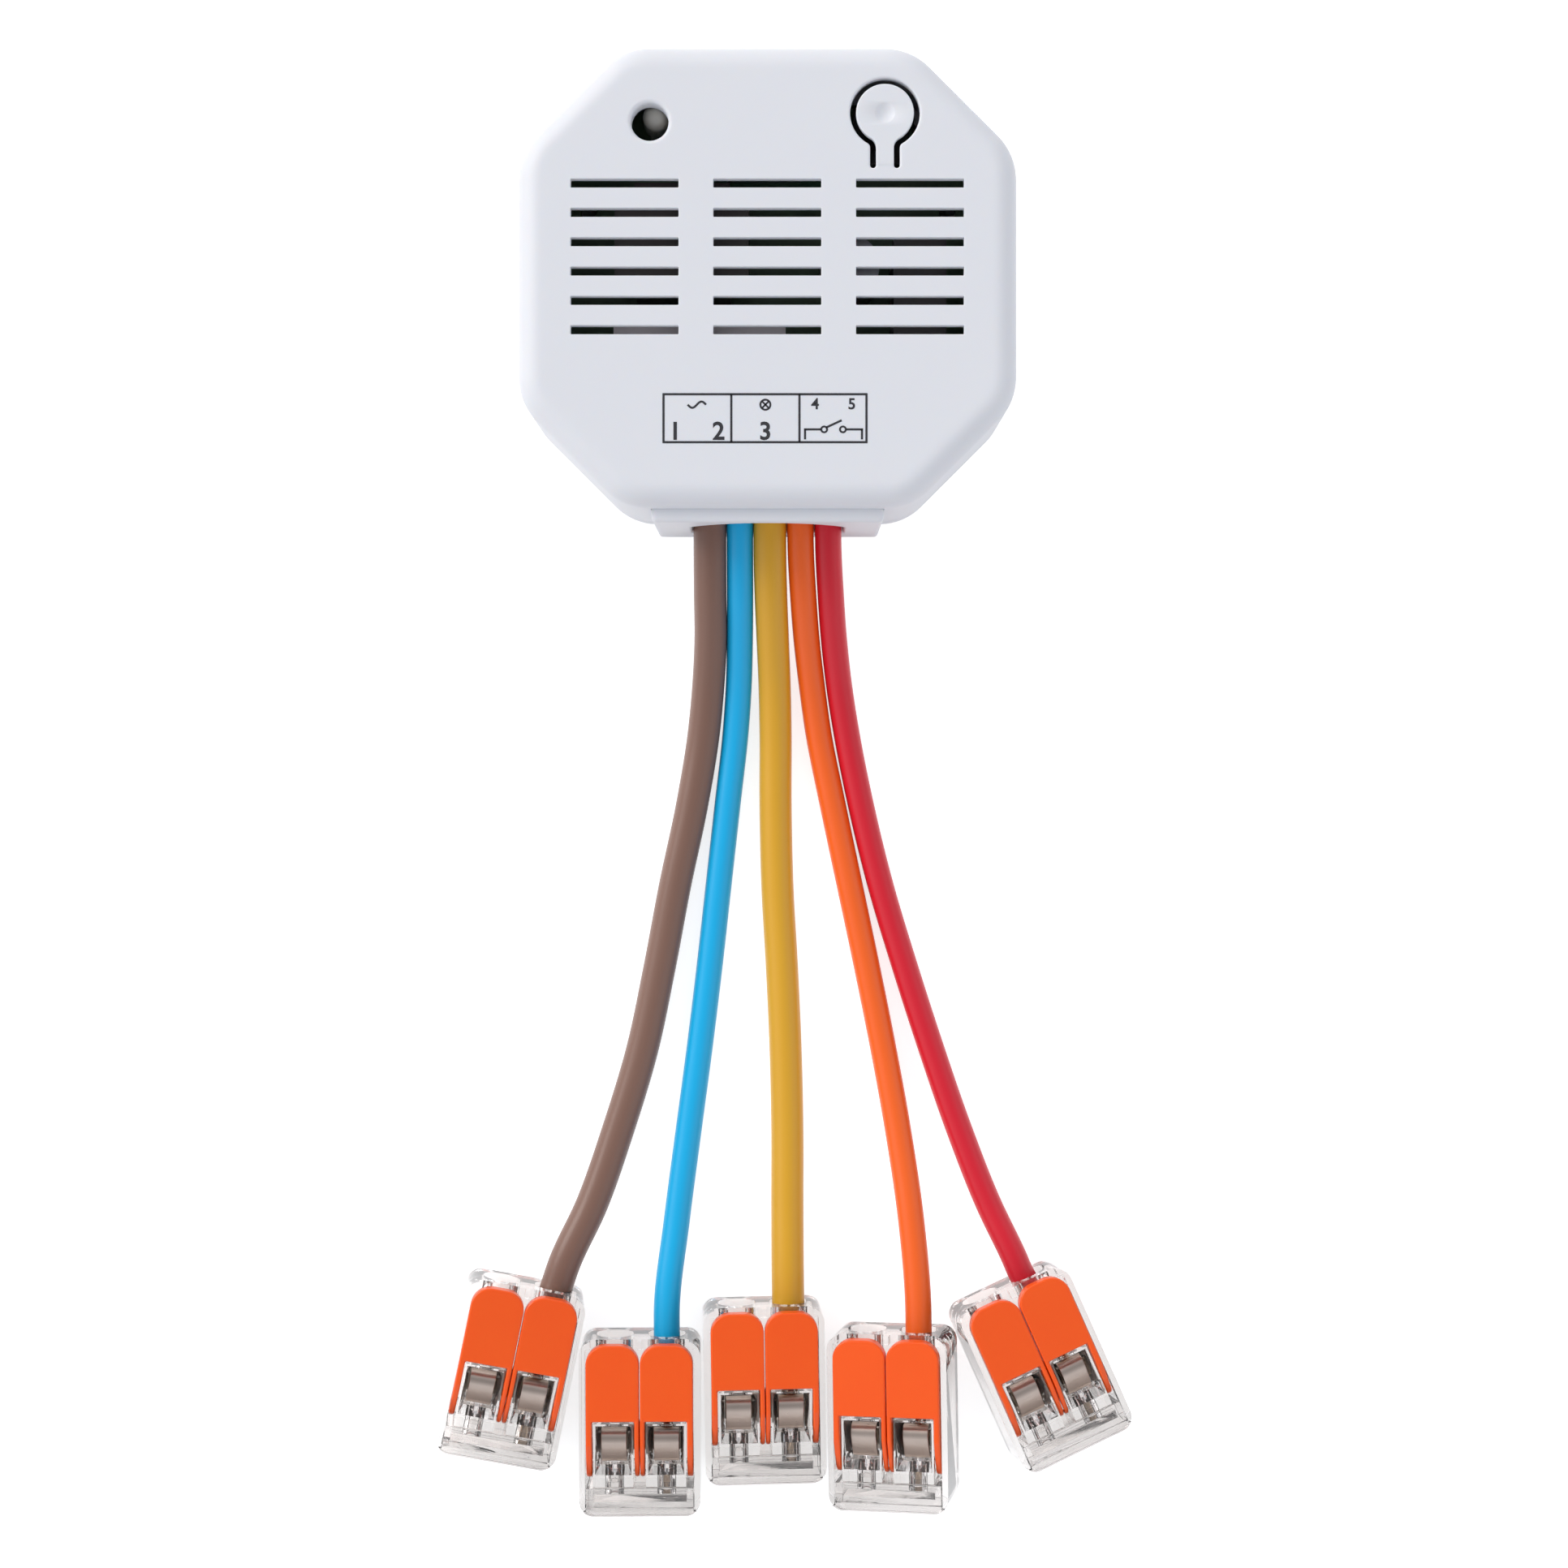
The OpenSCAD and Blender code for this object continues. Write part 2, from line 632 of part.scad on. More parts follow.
module relay_yoke() color("#8d9096") translate(relay_at) {
    translate([coil_x, 0, iron_z]) cylinder(d = core_d, h = core_top - iron_z);
    difference() {
        union() {
            block([(coil_x - core_d + yoke_x + iron_t) / 2, 0], iron_z,
                [yoke_x + iron_t - coil_x + core_d, yoke_w, iron_t]);
            block([axis_x, 0], iron_z, [iron_t, yoke_w, yoke_top - iron_z]);
        }
        translate([axis_x, -yoke_w, axis_z]) rotate([-90, 0, 0])
            cylinder(r = bead_r + pivot_gap, h = 2 * yoke_w);
    }
}

module relay_armature() color("#a9acb2") translate(relay_at) {
    start = coil_x - coil_d / 2;
    block([(start + axis_x + iron_t) / 2, 0], armature_z,
        [axis_x + iron_t - start, armature_w, armature_t]);
    translate([axis_x, -yoke_w / 2, axis_z]) rotate([-90, 0, 0]) cylinder(r = bead_r, h = yoke_w);
    block([axis_x + iron_t + blade_l / 2, 0], armature_z, [blade_l, contact_d, blade_t]);
    translate([axis_x + iron_t + blade_l - contact_d / 2, 0, armature_z + blade_t])
        cylinder(d = contact_d, h = contact_t);
}

module relay_contacts() color("#c58b4a") translate(relay_at) {
    x = axis_x + iron_t + blade_l;
    z = armature_z + blade_t + contact_t + contact_gap;
    block([x + contact_reach + blade_t / 2, 0], iron_z,
        [blade_t, contact_d, z + contact_t + blade_t - iron_z]);
    block([x + (contact_reach - contact_d) / 2, 0], z + contact_t,
        [contact_d + contact_reach, contact_d, blade_t]);
    translate([x - contact_d / 2, 0, z]) cylinder(d = contact_d, h = contact_t);
}

module transformer() color("#1f1f22") {
    s = transformer_size;
    step = transformer_step;
    block(transformer_at, board_top, [s.x, s.y - step.y, s.z]);
    block(transformer_at, board_top, [s.x - step.x, s.y, s.z - step.z]);
}

module smoothing_capacitor() color("#b9bbbf")
    translate([smoother_at.x, smoother_at.y, board_top]) cylinder(d = smoother_d, h = smoother_h);

module film_capacitor() color("#2c3136") block(film_at, board_top, film_size);

module fuse() color("#8a6b4d") translate([0, 0, board_top]) {
    y = fuse_at.y - fuse_l / 2;
    along(fuse_at.x, fuse_d / 2, y + fuse_cap_l, y + fuse_l - fuse_cap_l, fuse_d - fuse_neck);
    along(fuse_at.x, fuse_d / 2, y, y + fuse_cap_l, fuse_d);
    along(fuse_at.x, fuse_d / 2, y + fuse_l - fuse_cap_l, y + fuse_l, fuse_d);
}

module radio_board() color("#12382b") block(radio_at, board_top, radio_size);

module radio_shield() color("#b4b7bb") block(radio_at, board_top + radio_size.z, shield_size);

module tact_switch() color("#232327") difference() {
    block([button_right, button_up], board_top, [switch_w, switch_w, switch_h]);
    translate([button_right, button_up, board_top + switch_well])
        cylinder(d = plunger_d + 2 * pivot_gap, h = switch_h);
}

module tact_plunger() color("#39393e")
    translate([button_right, button_up, board_top + switch_well + plunger_lift])
        cylinder(d = plunger_d, h = plunger_top - board_top - switch_well - plunger_lift);

module status_led() color("#c8cdc9") {
    translate([lamp_at.x, lamp_at.y, lamp_top - lamp_l]) cylinder(d = led_d, h = lamp_l - led_d / 2);
    translate([lamp_at.x, lamp_at.y, lamp_top - led_d / 2]) sphere(d = led_d);
    for (s = [-1, 1])
        block([lamp_at.x + s * lamp_leg_pitch / 2, lamp_at.y], board_top,
            [lamp_leg_t, lamp_leg_t, lamp_top - lamp_l - board_top + fit_gap]);
}

// Puts what it holds where splice i lies
module at_splice(i) {
    p = splice_at[i];
    translate([p.x, p.y, splice_lift(i)]) rotate([0, 0, p[2]]) rotate([0, p[3], 0]) children();
}

// Both halves of a splice, mirrored
module both_poles() {
    children();
    mirror([1, 0, 0]) children();
}

module lead(i) color(paint[i]) tube(lead_line(i), jacket_d(i) / 2, lead_sides);

module core(i) color("#b9a58f") {
    along(lead_x[i], lead_z, board_end - fit_gap, board_end - fit_gap + tail_l, strands_d(i));
    at_splice(i) along(pole_u, port_z, core_end_v, jacket_v, strands_d(i));
}

// One pole's clear box around its clamp, with the stub pins of its lever
module clamp_box() {
    pin_u0 = inner_u + pivot_gap;
    pin_u1 = inner_u + lever_w - pivot_gap;
    translate([box_u0, box_v0, 0]) cube([box_u1 - box_u0, box_v1 - box_v0, side_h]);
    translate([pin_u0, pivot_v, pivot_z]) rotate([0, 90, 0]) cylinder(d = stub_d, h = pin_u1 - pin_u0);
}

// Corners of the room in a pole's box at height z: inset by its wall, and moved back behind
function room_corners(wall, behind, z) = [
    [box_u0 + wall, room_v0 - behind, z], [box_u1 - wall, room_v0 - behind, z],
    [box_u1 - wall, box_v1 - wall, z], [box_u0 + wall, box_v1 - wall, z]];

// Room for a clamp in its box, wider toward the rim
module clamp_room() {
    past = (funnel_h + cut) / funnel_h;
    translate([box_u0 + box_wall, room_v0, splice_floor])
        cube([box_u1 - box_u0 - 2 * box_wall, box_v1 - box_wall - room_v0, splice_h]);
    polyhedron(
        concat(room_corners(box_wall, 0, side_h - funnel_h),
            room_corners(box_wall - past * (box_wall - rim_wall), past * back_slope, side_h + cut)),
        [[0, 1, 2, 3], [7, 6, 5, 4], [0, 4, 5, 1], [1, 5, 6, 2], [2, 6, 7, 3], [3, 7, 4, 0]]);
}

module splice_housing(i) color("#e8eaec", 0.5) at_splice(i) difference() {
    inside = splice_w - 2 * splice_wall;
    union() {
        difference() {
            linear_extrude(side_h) rounded_rect(splice_w, splice_l, splice_r);
            translate([-inside / 2, splice_wall - splice_l / 2, splice_floor])
                cube([inside, splice_l - splice_wall - entry_l, splice_h]);
            translate([-inside / 2, entry_v - entry_l - cut, entry_h])
                cube([inside, entry_l + 2 * cut, splice_h]);
            translate([-splice_w, -splice_l, entry_h])
                cube([2 * splice_w, splice_l / 2 + splice_wall, splice_h]);
        }
        both_poles() clamp_box();
        intersection() {
            linear_extrude(side_h) rounded_rect(splice_w, splice_l, splice_r);
            for (u = [-1, 0, 1] * (inside - guard_w) / 2)
                translate([u - guard_w / 2, entry_v - guard_l, splice_floor])
                    cube([guard_w, guard_l, side_h]);
        }
    }
    both_poles() {
        clamp_room();
        along(pole_u, port_z, entry_v - entry_l - cut, entry_v + cut, port_d);
        along(pole_u, port_z, box_v0 - cut, entry_v, core_way_d);
    }
    translate([-box_u1 + box_wall, bus_v0 - fit_gap, splice_floor])
        cube([2 * (box_u1 - box_wall), bus_l + 2 * fit_gap, bus_top + fit_gap - splice_floor]);
}

module splice_cap(i) color("#e8eaec", 0.5) at_splice(i) {
    w = splice_w - 2 * splice_wall - 2 * fit_gap;
    v0 = splice_wall + fit_gap - splice_l / 2;
    v1 = cap_l - splice_l / 2;
    difference() {
        intersection() {
            linear_extrude(cap_h) rounded_rect(splice_w, splice_l, splice_r);
            union() {
                translate([-w / 2, v0, splice_floor]) cube([w, v1 - v0, cap_h - splice_floor]);
                translate([-w / 2, -splice_l / 2, entry_h]) cube([w, cap_l, cap_h - entry_h]);
                translate([-splice_w / 2, -splice_l / 2, entry_h])
                    cube([splice_w, splice_wall - fit_gap, cap_h - entry_h]);
            }
        }
        translate([cap_wall - w / 2, v0 + cap_wall, splice_floor - cut])
            cube([w - 2 * cap_wall, v1 - v0 - 2 * cap_wall, cap_h - cap_wall - splice_floor + cut]);
        both_poles() along(pole_u, port_z, v1 - cap_wall - cut, v1 + cut, core_way_d);
    }
}

// Side view of a lever's arm: a sloping back and a round end at the pivot
module arm_profile() {
    back = [slope_l, splice_h - pivot_z];
    belly = [window_v - pivot_v, splice_h - lever_t - pivot_z];
    top_a = atan2(back.y, back.x) + acos(arm_r / norm(back));
    low_a = atan2(belly.y, belly.x) - acos(arm_r / norm(belly));
    translate([pivot_v, pivot_z]) difference() {
        union() {
            circle(arm_r);
            polygon([arm_r * [cos(top_a), sin(top_a)], back, [belly.x + cut, back.y],
                [belly.x + cut, belly.y], belly, arm_r * [cos(low_a), sin(low_a)]]);
        }
        circle(d = stub_d + 2 * pivot_gap);
    }
}

// Plan of a lever's plate, rounded at the tip
module plate_plan() {
    r = lever_tip_r;
    translate([inner_u, window_v]) square([lever_w, plate_l - r]);
    translate([inner_u + r, window_v]) square([lever_w - 2 * r, plate_l]);
    for (u = [inner_u + r, inner_u + lever_w - r]) translate([u, tip_v - r]) circle(r);
}

// A lever in the right-hand place
module lever() {
    translate([0, 0, splice_h - lever_t]) linear_extrude(lever_t) plate_plan();
    across(inner_u, inner_u + inner_arm) arm_profile();
    across(inner_u + lever_w - outer_arm, inner_u + lever_w) arm_profile();
}

module lever_right(i) color("#f26a1e") at_splice(i) lever();

module lever_left(i) color("#f26a1e") at_splice(i) mirror([1, 0, 0]) lever();

// Points of an arc around a centre
function arc(c, r, from, to, steps) = [for (k = [0:steps]) let (a = from + (to - from) * k / steps)
    c + r * [cos(a), sin(a)]];
// Bent centreline of a clamp's strip: up the back, along its sloping top and down to the wire
function strip_line() =
    let (
        bend_z = strip_top - strip_t / 2 - strip_r,
        slope = atan2(strip_fall, strip_v1 - strip_v0 - 2 * strip_r),
        rear = arc([strip_v0 + strip_r, bend_z - strip_fall], strip_r, 180, 90 + slope, 6),
        front = arc([strip_v1 - strip_r, bend_z], strip_r, 90 + slope, -strip_lean, 8),
        end = front[len(front) - 1],
        fall = end.y - strip_end_z
    )
    concat([[strip_v0, splice_floor + strip_gap]], rear, front,
        [[end.x - fall * tan(strip_lean), strip_end_z]]);
// A bent line moved sideways by half a strip's thickness
function beside(line, d) = [for (k = [0:len(line) - 1])
    let (h = heading(line, k)) line[k] + d * [-h.y, h.x]];
function backwards(line) = [for (k = [len(line) - 1:-1:0]) line[k]];

module clamps(i) color("#9a9087") at_splice(i) both_poles() difference() {
    line = strip_line();
    across(strip_u - strip_w / 2, strip_u + strip_w / 2)
        polygon(concat(beside(line, strip_t / 2), backwards(beside(line, -strip_t / 2))));
    translate([strip_u - core_way_d / 2, strip_v0 - cut, splice_floor + sill_h])
        cube([core_way_d, strip_r + cut, port_z + core_way_d / 2 - splice_floor - sill_h]);
}

module busbar(i) color("#b8b2a6") at_splice(i)
    translate([-box_u1 + box_wall + fit_gap, bus_v0, bus_top - bus_t])
        cube([2 * (box_u1 - box_wall - fit_gap), bus_l, bus_t]);

front_cover();
rear_case();
button();
circuit_board();
relay_base();
relay_cover();
relay_coil();
relay_yoke();
relay_armature();
relay_contacts();
transformer();
smoothing_capacitor();
film_capacitor();
fuse();
radio_board();
radio_shield();
tact_switch();
tact_plunger();
status_led();
for (i = [0:len(wires) - 1]) {
    lead(i);
    core(i);
    splice_housing(i);
    splice_cap(i);
    lever_left(i);
    lever_right(i);
    clamps(i);
    busbar(i);
}
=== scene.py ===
"""Looks of a flush-mount smart relay module with five leads that end in lever splices.

Lengths in this file are millimetres in the model's own frame. A mesh is turned to metres when it
is stored.
"""

import json
import logging
import math
from dataclasses import dataclass, field
from enum import Enum
from typing import Callable, Sequence

import bmesh
import bpy
import numpy as np
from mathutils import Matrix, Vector
from mathutils.geometry import tessellate_polygon


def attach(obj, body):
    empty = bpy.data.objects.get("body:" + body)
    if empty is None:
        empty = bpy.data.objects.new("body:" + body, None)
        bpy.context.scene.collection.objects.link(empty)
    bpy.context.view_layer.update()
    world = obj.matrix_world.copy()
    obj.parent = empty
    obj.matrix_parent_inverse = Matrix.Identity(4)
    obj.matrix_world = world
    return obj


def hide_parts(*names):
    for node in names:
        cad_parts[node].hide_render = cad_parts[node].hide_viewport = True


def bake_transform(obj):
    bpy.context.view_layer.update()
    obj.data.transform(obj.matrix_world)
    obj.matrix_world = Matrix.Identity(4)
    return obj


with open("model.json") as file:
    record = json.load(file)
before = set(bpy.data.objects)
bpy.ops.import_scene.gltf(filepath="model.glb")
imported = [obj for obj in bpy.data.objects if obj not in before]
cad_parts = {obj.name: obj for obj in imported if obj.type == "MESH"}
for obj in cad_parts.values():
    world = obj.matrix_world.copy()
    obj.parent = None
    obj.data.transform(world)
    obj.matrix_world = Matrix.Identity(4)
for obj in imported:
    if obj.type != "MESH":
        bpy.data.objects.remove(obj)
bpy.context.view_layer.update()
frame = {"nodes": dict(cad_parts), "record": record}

MM = 0.001
LOG = logging.getLogger("relay_module")
Array = np.ndarray
Pair = tuple[float, float]
Triple = tuple[float, float, float]
Outline = Callable[[float], Array]
Profile = Sequence[Pair]
UP = np.array([0.0, 0.0, 1.0])
# Faces that meet at a larger angle than this, in degrees, have a sharp edge between them.
CREASE = 35.0
# A triangle whose cross product is shorter than this has no area.
NO_AREA = 1e-12
# Octaves of noise in a finish's slow drift of colour and in its fine grain.
DRIFT_DETAIL = 2.0
GRAIN_DETAIL = 3.0


class Wire(Enum):
    """The five leads, from left to right in the collar."""

    BROWN = "brown"
    BLUE = "blue"
    YELLOW = "yellow"
    ORANGE = "orange"
    RED = "red"


class Gauge(Enum):
    """Outer diameter of a lead's jacket."""

    HEAVY = 3.56
    LIGHT = 2.88


# Colours and nodes


def linear(code: str) -> tuple[float, float, float, float]:
    """Linear colour of an sRGB hex code, by the sRGB transfer curve.

    Args:
        code: A colour such as "#dde0e6".

    Returns:
        Red, green, blue and an alpha of 1.
    """
    srgb = np.array([int(code[i:i + 2], 16) for i in (1, 3, 5)]) / 255
    rgb = np.where(srgb <= 0.04045, srgb / 12.92, ((srgb + 0.055) / 1.055) ** 2.4)
    return (*rgb.tolist(), 1.0)


def per_mm(size: float) -> float:
    """Texture scale at which one feature is `size` millimetres wide."""
    return 1.0 / (size * MM)


def add_node(tree: bpy.types.NodeTree, kind: str, inputs: dict, **settings: object) -> bpy.types.Node:
    """Add one node with its settings, values and links.

    Args:
        tree: The node tree that gets the node.
        kind: Blender's name of the node type.
        inputs: Socket name or number to a value, or to the output socket that feeds it.
        settings: Properties of the node.

    Returns:
        The new node.
    """
    node = tree.nodes.new(kind)
    for key, value in settings.items():
        setattr(node, key, value)
    for socket, value in inputs.items():
        if isinstance(value, bpy.types.NodeSocket):
            tree.links.new(value, node.inputs[socket])
        else:
            node.inputs[socket].default_value = value
    return node


# Finishes


@dataclass(frozen=True)
class Finish:
    """What every finish has: its name, its main colour and a second colour that it drifts to.

    The drift is a slow noise, and a fine noise roughens the surface and lifts it by some microns.
    """

    name: str
    colour: str
    drift: str
    roughness: float
    drift_mm: float = 9.0
    grain_mm: float = 0.35
    grain_um: float = 4.0
    spread: float = 0.06
    stretch: Triple = (1.0, 1.0, 1.0)

    def place(self, tree: bpy.types.NodeTree) -> bpy.types.NodeSocket:
        """Give the coordinates that the pattern reads."""
        return add_node(tree, "ShaderNodeTexCoord", {}).outputs["Object"]

    def tune(self, skin: bpy.types.Node) -> None:
        """Set what is the same all over this finish on the shader's own sockets."""
        raise NotImplementedError

    def material(self) -> bpy.types.Material:
        """Make the material, or give the one that is there already.

        Returns:
            The material of this finish.
        """
        made = bpy.data.materials.get(self.name)
        if made:
            return made
        made = bpy.data.materials.new(self.name)
        made.use_nodes = True
        tree = made.node_tree
        skin = tree.nodes["Principled BSDF"]
        where = add_node(tree, "ShaderNodeMapping",
                         {"Vector": self.place(tree), "Scale": self.stretch}).outputs[0]
        slow = add_node(tree, "ShaderNodeTexNoise",
                        {"Vector": where, "Scale": per_mm(self.drift_mm), "Detail": DRIFT_DETAIL}).outputs[0]
        fine = add_node(tree, "ShaderNodeTexNoise",
                        {"Vector": where, "Scale": per_mm(self.grain_mm), "Detail": GRAIN_DETAIL}).outputs[0]
        # A colour mix has its share on socket 0 and its two colours on sockets 6 and 7.
        shades = {0: slow, 6: linear(self.colour), 7: linear(self.drift)}
        colour = add_node(tree, "ShaderNodeMix", shades, data_type="RGBA").outputs[2]
        gloss = add_node(tree, "ShaderNodeMapRange",
                         {"Value": fine, "To Min": self.roughness - self.spread,
                          "To Max": self.roughness + self.spread}).outputs[0]
        lift = add_node(tree, "ShaderNodeBump",
                        {"Height": fine, "Distance": self.grain_um * MM * MM, "Strength": 1.0}).outputs[0]
        tree.links.new(colour, skin.inputs["Base Color"])
        tree.links.new(gloss, skin.inputs["Roughness"])
        tree.links.new(lift, skin.inputs["Normal"])
        self.tune(skin)
        return made


@dataclass(frozen=True)
class Moulded(Finish):
    """Injection-moulded plastic: even colour and the fine matte grain of the mould."""

    ior: float = 1.5
    depth_mm: float = 0.0
    under_skin: float = 0.25
    reach: Triple = (1.0, 0.7, 0.5)

    def tune(self, skin: bpy.types.Node) -> None:
        """Set the plastic's refraction and the light that spreads under its skin."""
        skin.inputs["IOR"].default_value = self.ior
        if self.depth_mm > 0:
            skin.inputs["Subsurface Weight"].default_value = self.under_skin
            skin.inputs["Subsurface Radius"].default_value = self.reach
            skin.inputs["Subsurface Scale"].default_value = self.depth_mm * MM


@dataclass(frozen=True)
class Extruded(Moulded):
    """Drawn PVC jacket: its marks run lengthwise, so it reads the place on the straightened lead."""

    def place(self, tree: bpy.types.NodeTree) -> bpy.types.NodeSocket:
        """Give the place on the straightened lead, which the mesh carries as an attribute."""
        return add_node(tree, "ShaderNodeAttribute", {}, attribute_name="straight").outputs["Vector"]


@dataclass(frozen=True)
class Metal(Finish):
    """Metal with the fine marks of its making; the stretch turns grain into brushing."""

    def tune(self, skin: bpy.types.Node) -> None:
        """Set the metal's share and leave its refraction as it is."""
        skin.inputs["Metallic"].default_value = 1.0


@dataclass(frozen=True)
class Clear(Finish):
    """Clear moulded plastic: light goes through, and slow ripples bend its edges."""

    ior: float = 1.58
    through: float = 0.97

    def tune(self, skin: bpy.types.Node) -> None:
        """Let light through at the plastic's refraction."""
        skin.inputs["IOR"].default_value = self.ior
        skin.inputs["Transmission Weight"].default_value = self.through


# Numbers of a finish: roughness, width of the drift and of the grain in mm, height of the grain in microns.
# Mould grain and brush marks are really finer than the render shows, so they are drawn a few times coarser.
FINISHES: dict[str, Finish] = {
    # Spark-eroded ABS: soft white with a cool cast, no sharp highlight.
    "case_plastic": Moulded("white_abs_matte", "#e3e5ea", "#e5e7eb", 0.52, 14.0, 0.3, 3.0, depth_mm=0.6),
    # Solder mask over copper: muted green, glossy, slightly uneven.
    "board_laminate": Moulded("green_solder_mask", "#6b8468", "#5f785d", 0.35, 3.0, 0.6, 5.0),
    # The same mask on the radio board: a deeper green.
    "radio_laminate": Moulded("green_mask_radio", "#4d735c", "#456a54", 0.35, 2.0, 0.5, 5.0),
    # Glass-filled PBT: charcoal with a dry grain.
    "black_plastic": Moulded("black_pbt_moulded", "#454243", "#4d4a4b", 0.5, 3.0, 0.2, 5.0),
    # Pale PBT relay shell: warm grey white.
    "relay_shell": Moulded("pale_pbt_shell", "#ded7d9", "#d6cfd1", 0.5, 4.0, 0.25, 4.0),
    # Enamelled winding wire: copper brown with bands across the coil.
    "coil_copper": Metal("copper_enamel_wire", "#b4662d", "#9c5524", 0.35, 1.0, 0.2, 12.0,
                         stretch=(1, 1, 0.15)),
    # Zinc-plated iron: cool grey, a dull shine.
    "soft_iron": Metal("zinc_plated_iron", "#8f9196", "#7f8186", 0.38, 2.0, 0.25, 3.0),
    # Rolled brass strip: warm yellow, brushed along its length.
    "contact_metal": Metal("contact_brass_strip", "#c48c4a", "#b07c40", 0.35, 2.0, 0.2, 2.0,
                           stretch=(1, 0.1, 1)),
    # Varnished ferrite and tape: dark grey, a little gloss.
    "ferrite": Moulded("ferrite_varnished", "#5d5957", "#67625f", 0.42, 2.5, 0.3, 8.0),
    # Drawn aluminium can: pale grey, a soft shine.
    "can_aluminium": Metal("aluminium_drawn_can", "#babbc0", "#a9aab0", 0.4, 1.5, 0.2, 3.0),
    # Moulded box of a film capacitor: dark grey, half gloss.
    "film_case": Moulded("film_box_moulded", "#5c5a5a", "#666262", 0.35, 3.0, 0.25, 4.0),
    # Coated ceramic: brown, a little rough.
    "fuse_body": Moulded("fuse_ceramic_coat", "#8a6b4d", "#7a5d42", 0.4, 1.5, 0.3, 6.0),
    # Tinplate: bright grey with rolling marks across.
    "shield_tin": Metal("tinplate_shield", "#b5b7ba", "#a6a8ab", 0.32, 2.5, 0.25, 2.0,
                        stretch=(0.15, 1, 1)),
    # Diffused epoxy lamp: milky grey, smooth.
    "lamp_lens": Moulded("diffused_epoxy_lamp", "#b9b6ae", "#aeaba3", 0.22, 1.5, 0.4, 2.0, depth_mm=0.8),
    # Tinned copper strands: pale with a warm shine.
    "tinned_strands": Metal("tinned_copper_strand", "#c0ac94", "#a98f74", 0.35, 0.8, 0.2, 3.0),
    # Clear polycarbonate: bright edges and a faint warm tint.
    "clear_polycarbonate": Clear("water_clear_moulding", "#fdfbfa", "#fbf8f6", 0.03, 6.0, 2.4, 2.0,
                                 spread=0.01),
    # Satin polyamide: strong orange, soft highlight.
    "lever_orange": Moulded("orange_polyamide", "#ff5e0a", "#fb5808", 0.32, 7.0, 0.3, 4.0, depth_mm=0.4),
    # Rolled spring steel: bright with a warm cast and rolling marks.
    "spring_steel": Metal("spring_steel_rolled", "#cdbeb3", "#bdaea3", 0.3, 2.0, 0.25, 2.0,
                          stretch=(1, 0.12, 1)),
    # Tinned copper bar: pale warm grey, half bright.
    "tinned_copper": Metal("tinned_copper_bar", "#bdb7ab", "#aca597", 0.34, 1.6, 0.25, 2.0),
}
# Extruded PVC: satin with faint lines along the lead.
PVC = {Wire.BROWN: ("#886759", "#7a5a4d"), Wire.BLUE: ("#06b8f0", "#06ace6"),
       Wire.YELLOW: ("#e3ab2b", "#d8a023"), Wire.ORANGE: ("#fd6a1e", "#f46218"),
       Wire.RED: ("#dc1a30", "#d0142a")}
FINISHES |= {f"{wire.value}_pvc": Extruded(f"{wire.value}_pvc_drawn", *shades, 0.36, 2.2, 0.28, 9.0,
                                           stretch=(1, 1, 0.05)) for wire, shades in PVC.items()}
# Pad-printed ink: near black, dry, thinner at places.
INK = Moulded("black_pad_print", "#26262a", "#34343a", 0.6, 0.8, 0.12, 1.0)


# Meshes


def in_scene(name: str, data: bpy.types.ID) -> bpy.types.Object:
    """Make an object of a mesh, lamp, camera or curve and link it into the scene.

    Args:
        name: Name of the object.
        data: What it shows.

    Returns:
        The object, at the origin.
    """
    item = bpy.data.objects.new(name, data)
    bpy.context.scene.collection.objects.link(item)
    return item


